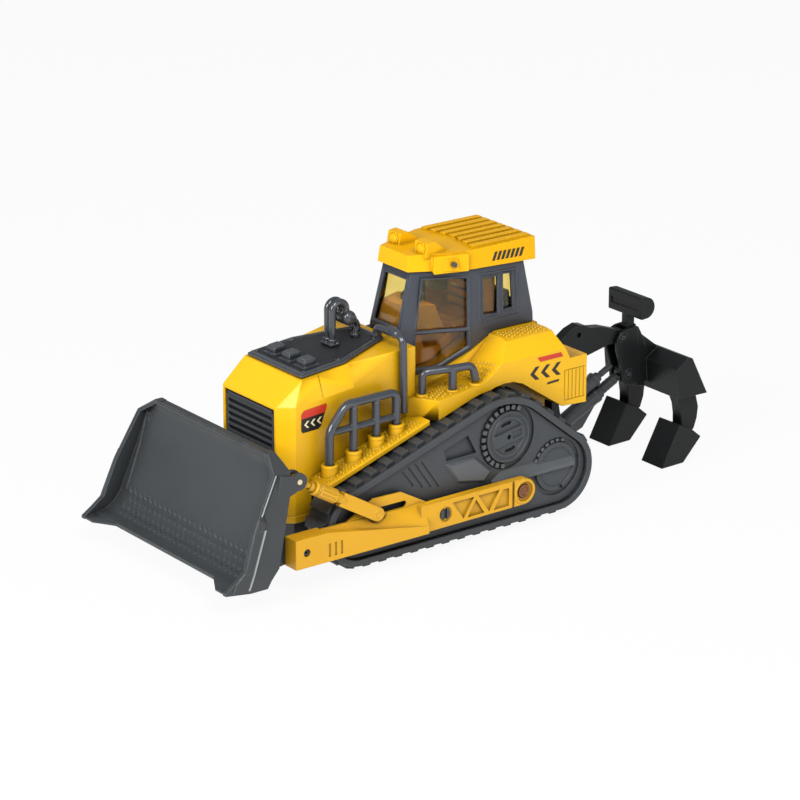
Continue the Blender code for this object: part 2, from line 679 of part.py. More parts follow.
def build_cab():
    body_line = [(40, 70.7), (8, 70.7), (-15, 74.7), (-49, 91.7), (-100, 91.7), (-100, 40), (40, 40)]
    frame = hull("cab_frame", cab_corners(0.0), FRAME)
    below = sheet("cab_below", [body_line], -40, 40, FRAME)
    room = hull("cab_room", cab_corners(CAB_WALL, CAB_WALL, 50.0), FRAME)
    panes = []
    for side in (1, -1):
        ys = bound(side, 6.0, 40.0)
        door = [(1.2, 98.5), (-29.6, 97.2), (-29.6, head(-29.6, 5.9)), (-3.2, head(-3.2, 5.4))]
        panes.append(sheet("pane_door", [door], *ys, FRAME))
        panes.append(sheet("pane_low", [[(2.6, 75.8), (-11.5, 76.2), (-29.6, 85.6), (-29.6, 94.6),
                                         (1.4, 96.0)]], *ys, FRAME))
        ys = bound(side, 15.0, 40.0)
        panes.append(sheet("pane_rear_a", [[(-41, 102.5), (-51.5, 102.5), (-51.5, head(-51.5, 7.4)),
                                            (-41, head(-41, 7.4))]], *ys, FRAME))
        panes.append(sheet("pane_rear_b", [[(-56, 103.5), (-62.8, 103.5), (-61.8, head(-61.8, 7.0)),
                                            (-56, head(-56, 6.9))]], *ys, FRAME))
    top = head(5, 5.9)
    panes.append(sheet("pane_front", [[(-11.6, 101), (11.6, 101), (10.4, top), (-10.4, top)]],
                       -12, 30, FRAME, "x"))
    top = head(-75, 6.9)
    panes.append(sheet("pane_back", [[(-20, 103), (20, 103), (19, top), (-19, top)]], -95, -60, FRAME, "x"))
    cut(frame, below, room, *panes)
    liner = hull("cab_glazing", cab_corners(CAB_WALL + GAP, CAB_WALL + GAP), AMBER)
    lift = [(x, z + GAP) for x, z in body_line]
    cut(liner, sheet("liner_below", [lift], -40, 40, AMBER),
        hull("liner_room", cab_corners(CAB_WALL + GAP + 1.1, CAB_WALL + GAP + 1.1, 50.0), AMBER))
    build_roof()
    seat = [(-2.5, 74.0), (-14.6, 75.2), (-48.8, 92.2), (-62, 92.4), (-62, 98), (-57, 99),
            (-56, head(-56, 10.7)),
            (-52, head(-52, 9.9)), (-48, 100), (-31, 98.5), (-28, 90), (-20, 84), (-10, 84), (-6,
                                                                                              101), (-2.5,
                                                                                                     103)]
    sheet("cab_interior", [seat], -9.5, 9.5, BROWN)


def build_roof():
    plan = [(ROOF_FRONT_X, 14.7), (ROOF_MID_X, 28.2), (ROOF_REAR_X, 28.2)]
    points = [(x, y, roof_low(x)) for x, y in plan]
    points += [(x - (1.0 if x > 0 else 0), y - 0.9, ROOF_TOP - 0.006 * (x - ROOF_REAR_X))
               for x, y in plan]
    roof = hull("cab_roof", both(points), YELLOW)
    ribs = [box("roof_rib", -76.5, -38.0 + abs(k) * 1.2, k * 7.6 - 2.1, k * 7.6 + 2.1, ROOF_TOP - 2,
                ROOF_TOP + 1.4,
                YELLOW) for k in range(-3, 4)]
    lamps = []
    for side in (1, -1):
        y = side * 13.0
        lamps.append(hull("roof_lamp", [(x, y + dy, ROOF_TOP + z) for dy in (-6, 6) for x, z in
                          ((-4.0, -2.6), (-5.6, 5.8), (-11, 6.4), (-24, -2.6))], YELLOW))
        pad = [(x, side * y2, ROOF_TOP + z) for x, y2, low in ((-8.5, 17.0, -9.2), (-28.5, 24.0, -9.8),
                                                    (-28.5, 29.0, -12.0), (-7.5, 22.8, -12.0))
               for z in (low, -1.6)]
        lamps.append(hull("roof_pad", pad, YELLOW))
    join(roof, *ribs, *lamps)


# -------------------------------------------------------------------- rails
def build_rails(side, word):
    y = side * POST_Y
    feet = [(x, z + GAP) for x, z in POSTS]
    top = 74.8
    outer = rounded([(feet[0][0], y, feet[0][1]), (feet[0][0], y, 60.5), (70.6, y, top),
                     (feet[3][0], y, top), (feet[3][0], y, feet[3][1])], 5, 3)
    guard = tube(f"guard_rail_{word}", outer, RAIL_R, FRAME, 2)
    inner = [tube("guard_post", [(x, y, z), (x, y, top)], RAIL_R * 0.94, FRAME, 2) for x, z in feet[1:3]]
    mid = tube("guard_mid", [(feet[0][0], y, 60.0), (feet[3][0], y, 60.0)], RAIL_R * 0.86, FRAME, 2)
    join(guard, *inner, mid)
    hand = rounded([(11.5, side * 36.5, 67.2), (11.5, side * 36.5, 80.3), (-5, side * 44, 81.4),
                    (-17.5, side * 46.6, 81.6), (-19.8, side * 47.0, 72.2)], 4, 3)
    rail = tube(f"hand_rail_{word}", hand, 2.4, FRAME, 2)
    join(rail, tube("hand_post", [(-5, side * 44, 68.6), (-5, side * 44, 81.3)], 2.4, FRAME, 2))
    grab = rounded([(25.5, side * 10.5, 99.6), (25.5, side * 12.0, 104.2), (25.5, side * 31, 105.4),
                    (25.5, side * 36.6, 103.0), (25.0, side * 36.6, 58.6)], 5, 3)
    tube(f"grab_rail_{word}", grab, 2.3, FRAME, 2)


# ---------------------------------------------------- push arms and struts
def build_arm(side, word):
    eye = arc(LIFT_X, LIFT_Z, 8.0, 90, 270, 10)
    rear = [(36, ARM_LOW), (36, ARM_TOP)] + eye
    arm = sheet(f"push_arm_{word}", [rear], *bound(side, ARM_IN_Y, ARM_REAR_Y), ARM_YELLOW)
    front = box("arm_front", 32.0, ARM_NOSE_X, side * ARM_IN_Y, side * ARM_FRONT_Y, ARM_LOW, ARM_NOSE_TOP,
                ARM_YELLOW)
    ramp = hull("arm_ramp", [(105, side * 70.7, 13.4), (31, side * 70.7, 0.1), (31, side * 64.4, 12.2),
                             (105, side * 64.4, 13.4), (31, side * 75, 0.1), (31, side * 75, 20),
                             (31, side * 64.4, 20), (105, side * 75, 13.4), (105, side * 75, 20),
                             (105, side * 64.4, 20)], ARM_YELLOW)
    cut(front, ramp)
    nose = box("arm_nose", 104.0, ARM_NOSE_X, side * ARM_NOSE_Y, side * (ARM_IN_Y + 1), ARM_LOW,
               ARM_NOSE_TOP,
               ARM_YELLOW)
    gusset = sheet("gusset", [[(88.2, 8), (88.2, 12.0), (66.8, 23.2), (47.0, 22.7), (25.5, 10.5),
                               (25.5, 8)]],
                   *bound(side, ARM_IN_Y, GUSSET_Y), ARM_YELLOW)
    join(arm, front, nose, gusset)
    slot = [(SLOT_X, SLOT_Z + 2.1)] + arc(45.5, SLOT_Z, 2.1, 90, 270, 6) + arc(SLOT_X, SLOT_Z, 2.1, -90,
                                                                               80, 6)
    tools = [sheet("gusset_slot", [slot], *bound(side, ARM_IN_Y - 1, GUSSET_Y + 1), ARM_YELLOW),
             pin("eye_bore", LIFT_X, LIFT_Z, LIFT_PIN_R + RUN, side * (ARM_IN_Y - 1),
                 side * (ARM_REAR_Y + 1),
                 ARM_YELLOW, 20),
             pin("tilt_bore", TILT_X, TILT_Z, TILT_PIN_R + RUN, side * (ARM_NOSE_Y - 1),
                 side * (ARM_FRONT_Y + 1),
                 ARM_YELLOW, 20),
             pin("dummy_bore", 18.2, 3.6, 3.1, side * (ARM_REAR_Y - 3), side * (ARM_REAR_Y + 1),
                 ARM_YELLOW, 12),
             sheet("strut_clear", [arc(SLOT_X - 4.8, SLOT_Z, 5.2, 90, 270, 7)
                                   + arc(SLOT_X, SLOT_Z, 5.8, -90, 90, 8)],
                   *bound(side, GUSSET_Y + 0.1, ARM_FRONT_Y + 1), ARM_YELLOW)]
    for loop in ([(13, 9.5), (-3, 9.5), (5, -2.2)], [(-6, 9.5), (-22, 9.5), (-14, -2.2)],
                 [(2, -2.2), (-10.5, -2.2), (-4.3, 7.5)], [(-17.5, -2.2), (-29, -2.2), (-29, 9.0),
                                                           (-24.6, 9.0)]):
        tools.append(sheet("truss", [loop], *bound(side, ARM_REAR_Y - 0.9, ARM_REAR_Y + 1), ARM_YELLOW))
    for x in (94.3, 98.5, 102.7):
        tools.append(box("groove", x - 0.8, x + 0.8, side * (ARM_FRONT_Y - 0.8), side * (ARM_FRONT_Y + 1),
                         -1.5, 6.5, ARM_YELLOW))
    tools.append(box("eye_split", -33.0, -31.6, side * (ARM_REAR_Y - 0.9), side * (ARM_REAR_Y + 1), -8, 16,
                     ARM_YELLOW))
    cut(arm, *tools)
    tilt_pin = pin(f"tilt_pin_{word}", TILT_X, TILT_Z, TILT_PIN_R, side * 54.3, side * (ARM_FRONT_Y - 0.8),
                   BLACK, 20)
    for obj in (arm, tilt_pin):
        origin_at(obj, LIFT_X, LIFT_Z)


def build_strut(side, word):
    a, b = Vector((LUG_X, LUG_Z)), Vector((SLOT_X, SLOT_Z))
    d = (b - a).normalized()
    n = Vector((-d.y, d.x))
    y = side * STRUT_Y

    def at(share, across=0.0):
        p = a.lerp(b, share) + n * across
        return (p.x, y, p.y)

    tail = math.degrees(math.atan2(d.y, d.x))
    half = 4.2
    p0, p1 = at(0.55, half), at(0.55, -half)
    loop = [(p1[0], p1[2]), (p0[0], p0[2])] + list(reversed(arc(b.x, b.y, half, tail - 90, tail + 90, 8)))
    strut = sheet(f"strut_{word}", [loop], *bound(side, GUSSET_Y + GAP, GUSSET_Y + GAP + 5.0), ARM_YELLOW)
    pieces = [rod("strut_neck", at(0.46), at(0.585), 2.9, ARM_YELLOW, 12),
              rod("strut_barrel", at(0.21), at(0.48), 3.9, ARM_YELLOW, 14),
              rod("strut_collar", at(0.165), at(0.22), 2.7, ARM_YELLOW, 12),
              rod("strut_rod", at(0.02), at(0.19), 1.6, ARM_YELLOW, 10),
              pin("strut_eye", LUG_X, LUG_Z, 3.4, side * (STRUT_Y - 1.7), side * (STRUT_Y + 1.7),
                  ARM_YELLOW, 14),
              pin("strut_stud", b.x, b.y, STRUT_PIN_R, side * (ARM_IN_Y + 0.1), side * (GUSSET_Y + 2),
                  ARM_YELLOW, 12)]
    join(strut, *pieces)
    bore = pin("strut_bore", LUG_X, LUG_Z, STRUT_PIN_R + RUN, side * 60, side * 75, ARM_YELLOW, 14)
    cut(strut, bore)
    origin_at(strut, LUG_X, LUG_Z)


# -------------------------------------------------------------------- blade
PLATE_T = 3.0
LIP_TOP = 63.6
MOULD_FRONT = [(135.4, LIP_TOP), (134.6, 57), (141.0, 36), (149.3, 14), (152, 6.8), (156.5, 0.8),
               (162, -2.4),
               (168.4, -3.6)]
MOULD_BACK = [(168.4, -5.6), (158, -8.0), (149.0, -8.0), (146.6, -2), (146.0, 12), (137.4, 36), (131.2, 57),
              (130.7, LIP_TOP)]
PLATE_SIDE = [(135.2, LIP_TOP + 0.3), (139.8, 55.5), (151.3, 34.5), (156, 25), (163, 5.6), (169.5, 0.6),
              (NOSE_X, -4.3),
              (NOSE_X, -5.9), (160, -8.2), (148.6, -8.2), (145.7, -3.5), (140.7, 2.2), (139.3, 7), (132.7,
                                                                                                    31.3),
              (128.4, 46.8), (128.7, 56), (130.4, LIP_TOP + 0.3)]
END_LINE = [(75.1, -12), (75.1, 2), (71.8, 34), (69.4, 55.6), (57.4, LIP_TOP + 0.3), (57.4, 70)]


def build_blade():
    blade = sheet("blade", [MOULD_FRONT + MOULD_BACK], -76, 76, SLATE)
    ends = sheet("blade_ends", [PLATE_SIDE], -76, 76, SLATE)
    inner = [(y - PLATE_T, z) for y, z in END_LINE[:3]]
    inner += [(END_LINE[3][0] - PLATE_T, END_LINE[3][1] - 1.0),
              (END_LINE[4][0] - 1.4, END_LINE[4][1] - 2.6),
              (END_LINE[4][0] - 6.4, LIP_TOP + 1.2)]
    cut(ends, sheet("blade_inside", [inner + [(-y, z) for y, z in reversed(inner)]], 90, 190, SLATE, "x"))
    bits = []
    for side in (1, -1):
        bits.append(hull("end_bit", [(x, side * y, z) for x, y, z in
                    ((158, 50, -4.4), (158, 76, -4.4), (158, 76, -7.6), (158, 50, -7.6), (168.3, 50, -4.0),
                     (168.2, 50, -5.4), (NOSE_X - 0.5, 64, -4.6), (NOSE_X - 0.5, 76, -4.6),
                     (NOSE_X - 0.5, 64, -5.7), (NOSE_X - 0.5, 76, -5.7))], SLATE))
    join(blade, ends, *bits)
    keep(blade, sheet("blade_outside", [END_LINE + [(-y, z) for y, z in reversed(END_LINE)]], 90, 190,
                      SLATE, "x"))
    extra = []
    for side in (1, -1):
        ear = [(136.5, 54.6), (127.0, 52.4)] + arc(LUG_X, LUG_Z, 5.2, 60, 285, 8) + [(127, 42.2),
                                                                                     (138.5, 38)]
        for lo, hi in ((62.0, 64.6), (68.6, 70.9)):
            extra.append(sheet("strut_ear", [ear], *bound(side, lo, hi), SLATE))
        low_ear = [(148, 15), (124, 12.0)] + arc(TILT_X, TILT_Z, 5.6, 70, 290, 8) + [(126, -4.2),
                                                                                     (148, -7.4)]
        extra.append(sheet("tilt_ear", [low_ear], *bound(side, 54.6, ARM_NOSE_Y - GAP), SLATE))
    join(blade, *extra)
    bores = []
    for side in (1, -1):
        bores.append(pin("ear_bore", LUG_X, LUG_Z, STRUT_PIN_R + 0.02 + RUN, side * 61, side * 73, SLATE,
                         14))
        bores.append(pin("low_bore", TILT_X, TILT_Z, TILT_PIN_R + RUN, side * 53, side * 61, SLATE, 20))
        pin_obj = pin(f"strut_pin_{'left' if side > 0 else 'right'}", LUG_X, LUG_Z, STRUT_PIN_R,
                      side * 61.6,
                      side * 71.4, CREAM, 18)
        origin_at(pin_obj, LUG_X, LUG_Z)
    cut(blade, *bores)
    origin_at(blade, TILT_X, TILT_Z)


# ------------------------------------------------------------------- ripper
SHORTER = 5.5             # shanks end this much higher so that the tips clear the floor


def link_end(x, z):
    """Far pivot of a ripper link at rest."""
    return x - LINK_L * math.cos(LINK_RISE), z + LINK_L * math.sin(LINK_RISE)


def build_ripper():
    lx, lz = link_end(LOWER_X, LOWER_Z)
    ux, uz = link_end(UPPER_X, UPPER_Z)

    def place(points, dx=0.0, dz=0.0):
        return [(lx + x + dx, lz + z + dz) for x, z in points]

    # chassis bracket: a foot on the tub's rear wall with two pairs of cheeks
    mount = box("ripper_mount", TUB_REAR_X - 4.2, TUB_REAR_X - GAP, -20, 20, -12, 40.0, BLACK)
    cheeks = []
    for side in (1, -1):
        outline = [(TUB_REAR_X - 3, -12), (-113, -6)] + arc(LOWER_X, LOWER_Z, 5.4, -80, -190,
                                                            6) + [(-117, 20)] \
            + arc(UPPER_X, UPPER_Z, 5.6, -170, -265, 6) + [(TUB_REAR_X - 3, 40)]
        outline = [(x, z) for x, z in outline]
        cheeks.append(sheet("mount_cheek", [outline], *bound(side, 5.4, 5.4 + CHEEK_T), BLACK))
    join(mount, *cheeks)
    cut(mount, *[pin("mount_bore", x, z, RIP_PIN_R + 0.05, -20, 20, BLACK, 14)
                 for x, z in ((LOWER_X, LOWER_Z), (UPPER_X, UPPER_Z))])
    for name, x, z in (("ripper_pin_lower_front", LOWER_X, LOWER_Z),
                       ("ripper_pin_upper_front", UPPER_X, UPPER_Z)):
        pin(name, x, z, RIP_PIN_R, -8.4, 8.4, STEEL, 18)

    # lower link: barrel, rod and eyes
    rise = Vector((-math.cos(LINK_RISE), math.sin(LINK_RISE)))

    def along(x, z, d, across=0.0):
        return (x + rise.x * d + rise.y * across, 0.0, z + rise.y * d - rise.x * across)

    def beside(share, across):
        """Point of the upper link, at a share of its length and a distance above its line."""
        x, _, z = along(UPPER_X, UPPER_Z, share * LINK_L, across)
        return x, z

    reach = LINK_L
    lower = rod("ripper_lower_link", along(LOWER_X, LOWER_Z, 3), along(LOWER_X, LOWER_Z, 0.63 * reach),
                LOWER_LINK_R, BLACK, 16)
    lo_parts = [rod("lower_rod", along(LOWER_X, LOWER_Z, 0.61 * reach),
                    along(LOWER_X, LOWER_Z, reach - 2.8), 3.3, BLACK, 14),
                rod("lower_collar", along(LOWER_X, LOWER_Z, 0.605 * reach),
                    along(LOWER_X, LOWER_Z, 0.69 * reach), 4.3, BLACK, 14),
                pin("lower_eye_a", LOWER_X, LOWER_Z, 4.8, -LINK_HALF - 1.55, LINK_HALF + 1.55, BLACK, 16),
                pin("lower_eye_b", lx, lz, 4.6, -LINK_HALF, LINK_HALF, BLACK, 16)]
    p = [along(LOWER_X, LOWER_Z, d * reach, a) for d, a in ((0.03, 0), (0.58, 0), (0.58, -4),
                                                            (0.34, -11.5), (0.09, -9.5))]
    lo_parts.append(sheet("lower_web", [[(q[0], q[2]) for q in p]], -2.6, 2.6, BLACK))
    join(lower, *lo_parts)
    lo_cut = [pin("lower_bore", x, z, RIP_PIN_R + RUN, -9, 9, BLACK, 14) for x, z in ((LOWER_X, LOWER_Z),
                                                                                      (lx, lz))]
    lo_cut.append(rod("peg_bore", along(LOWER_X, LOWER_Z, 0.52 * reach, 1.2),
                      along(LOWER_X, LOWER_Z, 0.52 * reach, 9), 1.3 + GAP, BLACK, 12))
    cut(lower, *lo_cut)
    origin_at(lower, LOWER_X, LOWER_Z)

    # upper link: a cranked plate, with a cylinder under it
    crest = [(0.08, 14.3), (0.34, 27.3), (0.52, 28.8), (0.63, 27.7), (0.69, 24.7), (0.73, 20.5),
             (0.86, 14.7)]
    belly = [(0.85, 1.0), (0.51, 6.8), (0.37, 7.6), (0.21, 3.5), (0.06, -2.5)]
    crank = arc(UPPER_X, UPPER_Z, 4.4, 300, 360, 3) + [beside(share, out) for share, out in crest]
    crank += arc(ux, uz, 4.6, 75, 250, 8) + [beside(share, out) for share, out in belly]
    crank += arc(UPPER_X, UPPER_Z, 4.4, 200, 290, 4)
    upper = sheet("ripper_upper_link", [crank], -LINK_HALF, LINK_HALF, BLACK)
    hole = pin("hump_hole", *beside(0.59, 21.7), 1.8, -9, 9, BLACK, 14)
    up_cut = [pin("upper_bore", x, z, RIP_PIN_R + RUN, -9, 9, BLACK, 14) for x, z in ((UPPER_X, UPPER_Z),
                                                                                      (ux, uz))]
    cut(upper, *up_cut, hole)
    origin_at(upper, UPPER_X, UPPER_Z)

    # cylinder resting on the lower link, held by a peg
    perch = LOWER_LINK_R + GAP + CYL_R

    def above(share, across=perch):
        return along(LOWER_X, LOWER_Z, share * reach, across)

    cylinder = rod("ripper_cylinder", above(0.44), above(0.68), CYL_R, SLATE, 16)
    join(cylinder, rod("cyl_rod", above(0.65), above(0.91), 2.0, SLATE, 10),
         rod("cyl_collar", above(0.66), above(0.73), 3.2, SLATE, 12),
         rod("cyl_peg", above(0.52), above(0.52, 1.5), 1.3, SLATE, 12))
    origin_at(cylinder, LOWER_X, LOWER_Z)

    # ripper frame: clevis, beam, post and handle bar
    back = place([(-4.7, -8.8), (-13.2, -10.8), (-15.2, 11.2), (-11.2, 33.2), (-1.4, 36.2), (-1.4, 9.2),
                  (-4.7, 5.2)])
    frame = sheet("ripper_frame", [back], -6.0, 6.0, BLACK)
    ear = place([(-4.2, 35.7), (2.8, 32.7), (9.6, 28.2), (10.4, 19.2), (6.3, 5.2), (5.3, -4.8),
                 (-0.2, -7.3),
                 (-7.2, -7.8), (-7.2, 33.2)])
    fr_parts = [sheet("frame_cheek", [ear], *bound(side, LINK_HALF + GAP, LINK_HALF + GAP + CHEEK_T), BLACK)
                for side in (1, -1)]
    beam = place([(-16.2, -12.3), (-14.2, 7.2), (-23.7, 13.5), (-27.2, 12.5), (-BEAM_REACH, -12.8)])
    for side in (1, -1):
        fr_parts.append(sheet("frame_beam", [beam], *bound(side, 5.0, 35.0), BLACK))
    neck = place([(-9.2, -4.8), (-7.2, 27.2), (-11.2, 31.2), (-24.2, 13.2), (-19.2, -10.8)])
    fr_parts.append(sheet("beam_neck", [neck], -6, 6, BLACK))
    px, pz = lx - 3.7, lz - 24.8
    fr_parts.append(box("frame_post", px - 2.9, px + 2.9, -3.2, 3.2, 55 + pz, 66 + pz, BLACK))
    bar = [(px + 3.0, 62.2 + pz), (px + 3.0, 75.8 + pz), (px - 1.0, 75.8 + pz)] \
        + arc(px - 1.4, 69.0 + pz, 6.8, 100, 260, 8) + [(px - 1.0, 62.2 + pz)]
    fr_parts.append(sheet("handle_bar", [bar], -15.7, 15.7, BLACK))
    join(frame, *fr_parts)
    fr_cut = [pin("frame_bore", x, z, RIP_PIN_R + 0.05, -9, 9, BLACK, 14) for x, z in ((lx, lz), (ux, uz))]
    room = sheet("link_room", [place([(16.8, 39.2), (-1.1, 33.2), (-1.1, 22.2), (-1.1, 13.2), (-6.2, 5.2),
                                      (-5.4, -8.8), (16.8, -14.8)])],
                 -LINK_HALF - GAP, LINK_HALF + GAP, BLACK)
    cut(frame, room, *fr_cut)
    pins = [pin(name, x, z, RIP_PIN_R, -6.6, 6.6, STEEL, 18)
            for name, x, z in (("ripper_pin_lower_rear", lx, lz), ("ripper_pin_upper_rear", ux, uz))]
    for obj in [frame] + pins:
        origin_at(obj, lx, lz)
    for side, word in ((1, "left"), (-1, "right")):
        build_shank(side, word, lx, lz, place)


def build_shank(side, word, lx, lz, place):
    leg = place([(-19.7, -12.8 - GAP), (-23, -22.8), (-23.8, -32.8), (-22.2, -40.8 + SHORTER),
                 (-31.2, -43.8 + SHORTER),
                 (-36.7, -32.8), (-37.8, -22.8), (-35.2, -12.8 - GAP)])
    shank = sheet(f"ripper_shank_{word}", [leg], *bound(side, SHANK_Y - 4.3, SHANK_Y + 4.3), BLACK)
    tip = place([(-3.6, -61), (-17.8, -35), (-28.7, -40.4), (-35.5, -46.1), (-21.5, -60.7)], 0.0, SHORTER)
    tooth = sheet("ripper_tip", [tip], *bound(side, SHANK_Y - 10, SHANK_Y + 10), BLACK)
    join(shank, tooth)
    origin_at(shank, lx, lz)


# -------------------------------------------------------------------- build
build_chassis()
build_body()
build_hood()
build_cab()
for side, word in ((1, "left"), (-1, "right")):
    build_track(side, word)
    build_rails(side, word)
    build_arm(side, word)
    build_strut(side, word)
build_blade()
build_ripper()
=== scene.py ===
# %% [markdown]
# # A toy bulldozer, finished for display
#
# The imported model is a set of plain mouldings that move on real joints. This
# lesson gives them what a moulded toy shows up close: rounded edges, grooves,
# screws, tread, tinted glazing and plastic with a fine grain. The CAD solids
# stay where they are, and every new piece is placed from them.

# %% The frame
import json
import math

import bmesh
import bpy
from mathutils import Matrix, Vector
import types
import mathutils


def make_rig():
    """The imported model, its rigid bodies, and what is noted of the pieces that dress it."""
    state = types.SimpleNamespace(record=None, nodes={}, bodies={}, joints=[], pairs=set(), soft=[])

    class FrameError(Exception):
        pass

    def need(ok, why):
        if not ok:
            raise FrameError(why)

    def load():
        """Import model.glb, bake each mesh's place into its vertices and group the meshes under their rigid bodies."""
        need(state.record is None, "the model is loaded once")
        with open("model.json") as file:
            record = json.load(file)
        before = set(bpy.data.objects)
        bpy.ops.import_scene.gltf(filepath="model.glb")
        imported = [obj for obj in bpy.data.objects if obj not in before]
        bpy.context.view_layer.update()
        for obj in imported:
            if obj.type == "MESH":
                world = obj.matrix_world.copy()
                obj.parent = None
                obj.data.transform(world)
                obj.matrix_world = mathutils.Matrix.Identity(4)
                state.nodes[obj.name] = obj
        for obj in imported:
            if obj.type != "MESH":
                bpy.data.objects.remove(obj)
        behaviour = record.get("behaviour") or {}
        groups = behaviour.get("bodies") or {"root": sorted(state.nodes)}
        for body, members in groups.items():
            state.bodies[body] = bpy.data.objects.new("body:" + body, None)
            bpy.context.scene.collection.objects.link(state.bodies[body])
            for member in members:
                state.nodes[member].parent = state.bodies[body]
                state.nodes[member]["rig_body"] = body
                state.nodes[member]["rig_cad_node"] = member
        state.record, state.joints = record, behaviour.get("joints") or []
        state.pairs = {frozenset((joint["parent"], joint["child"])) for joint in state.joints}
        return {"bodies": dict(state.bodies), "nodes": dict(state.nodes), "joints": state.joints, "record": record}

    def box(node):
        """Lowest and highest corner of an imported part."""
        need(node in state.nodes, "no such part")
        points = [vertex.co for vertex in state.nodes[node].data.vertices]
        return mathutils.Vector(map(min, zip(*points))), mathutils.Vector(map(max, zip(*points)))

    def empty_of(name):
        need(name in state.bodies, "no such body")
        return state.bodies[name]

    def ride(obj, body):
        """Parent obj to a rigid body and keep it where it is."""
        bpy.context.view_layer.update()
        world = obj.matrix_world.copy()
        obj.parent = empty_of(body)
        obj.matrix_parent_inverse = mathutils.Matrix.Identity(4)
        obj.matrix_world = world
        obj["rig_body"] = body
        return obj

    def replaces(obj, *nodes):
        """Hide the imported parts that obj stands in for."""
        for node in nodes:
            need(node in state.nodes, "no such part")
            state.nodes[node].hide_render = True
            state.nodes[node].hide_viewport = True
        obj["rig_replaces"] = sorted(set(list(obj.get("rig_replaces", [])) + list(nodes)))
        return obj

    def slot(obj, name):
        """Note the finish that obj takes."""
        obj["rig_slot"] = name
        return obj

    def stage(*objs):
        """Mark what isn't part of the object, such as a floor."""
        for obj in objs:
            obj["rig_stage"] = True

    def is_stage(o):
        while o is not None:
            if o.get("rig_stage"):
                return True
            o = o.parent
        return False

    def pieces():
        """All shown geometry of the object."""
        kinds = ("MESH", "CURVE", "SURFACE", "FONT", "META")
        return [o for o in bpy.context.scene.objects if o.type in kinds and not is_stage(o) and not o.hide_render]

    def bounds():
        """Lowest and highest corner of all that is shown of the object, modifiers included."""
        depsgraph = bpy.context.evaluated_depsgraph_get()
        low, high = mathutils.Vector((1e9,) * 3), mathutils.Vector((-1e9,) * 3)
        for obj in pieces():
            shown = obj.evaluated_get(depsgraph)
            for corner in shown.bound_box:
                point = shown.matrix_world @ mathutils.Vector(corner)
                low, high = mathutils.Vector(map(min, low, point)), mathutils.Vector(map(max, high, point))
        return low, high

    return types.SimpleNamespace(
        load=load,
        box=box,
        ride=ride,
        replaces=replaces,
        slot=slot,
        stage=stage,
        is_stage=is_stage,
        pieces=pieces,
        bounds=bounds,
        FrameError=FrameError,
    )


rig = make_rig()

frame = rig.load()
cad_low, cad_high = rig.bounds()
print("nodes:", len(frame["nodes"]), "bodies:", len(frame["bodies"]))


# %% [markdown]
# ## One datum for every measure
#
# A toy designer dimensions everything from one line on the drawing. Here it is
# the axis that the push arms turn on, 40.6 mm behind and 4.2 mm above the
# drawing's zero. Reading it from the frame keeps each detail on its moulding,
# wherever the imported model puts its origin. Measures are in millimetres:
# x forward, y to the toy's left, z up.

# %% Datum
MM = 0.001
LIFT_X, LIFT_Z = -40.6, 4.2
pin_low, pin_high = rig.box("arm_pin_left")
ZERO = Vector(((pin_low.x + pin_high.x) / 2 - LIFT_X * MM, 0.0,
               (pin_low.z + pin_high.z) / 2 - LIFT_Z * MM))
LEFT, RIGHT = 1, -1
WORD = {LEFT: "left", RIGHT: "right"}


def at(x, y, z):
    """A point of the drawing, in metres in the frame."""
    return ZERO + Vector((x, y, z)) * MM


print("drawing zero in the frame:", [round(v, 5) for v in ZERO])


# %% [markdown]
# ## Moulded edges
#
# No injection-moulded edge is sharp: the steel is radiused so that the part
# lets go of it, and that thin round is what catches the light. `soften` bevels
# the edges that turn by more than a given angle. It leaves out edges with a
# very short neighbour, because one short edge would hold the whole bevel to
# its own size. `recast` does that to a copy of a CAD solid, whose triangles
# are first merged back into flat faces.

# %% Softened copies of the CAD solids
def soften(bm, width, angle=28.0, segments=2):
    """Round the edges that have room for a bevel of that width, in millimetres."""
    room = 2.05 * width * MM
    limit = math.radians(angle)
    edges = [e for e in bm.edges if e.is_manifold and e.calc_face_angle(0.0) > limit
             and all(near.calc_length() > room for v in e.verts for near in v.link_edges)]
    if edges:
        bmesh.ops.bevel(bm, geom=edges, offset=width * MM, offset_type="OFFSET",
                        segments=segments, profile=0.5, affect="EDGES", clamp_overlap=True)
    return bm


def cad_copy(node):
    """The CAD solid of a node, with its triangles merged into flat faces."""
    bm = bmesh.new()
    bm.from_mesh(frame["nodes"][node].data)
    bmesh.ops.remove_doubles(bm, verts=bm.verts, dist=2e-6)
    bmesh.ops.dissolve_limit(bm, angle_limit=math.radians(1.0), verts=bm.verts, edges=bm.edges)
    bmesh.ops.dissolve_degenerate(bm, dist=0.12 * MM, edges=bm.edges)
    return bm


made = {}
SHARP = math.radians(50.0)
print("facets sharper than", round(math.degrees(SHARP)), "degrees keep their edge")


def body_of(node):
    """The moving body that a CAD node belongs to."""
    return frame["nodes"][node]["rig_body"]


def keep_piece(bm, name, finish, node=None, body="vehicle"):
    """Turn a mesh under construction into a piece. It takes the place of a CAD
    node and rides on that node's body, or stands for itself and rides on body."""
    mesh = bpy.data.meshes.new(name)
    bmesh.ops.recalc_face_normals(bm, faces=bm.faces)
    bm.to_mesh(mesh)
    bm.free()
    mesh.materials.append(FINISH[finish])
    mesh.shade_smooth()
    mesh.set_sharp_from_angle(angle=SHARP)
    piece = bpy.data.objects.new(name, mesh)
    bpy.context.scene.collection.objects.link(piece)
    evenly = piece.modifiers.new("flat faces", "WEIGHTED_NORMAL")
    evenly.keep_sharp = True
    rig.ride(piece, body_of(node) if node else body)
    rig.slot(piece, SLOT[finish])
    if node:
        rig.replaces(piece, node)
    made[name] = len(mesh.polygons)


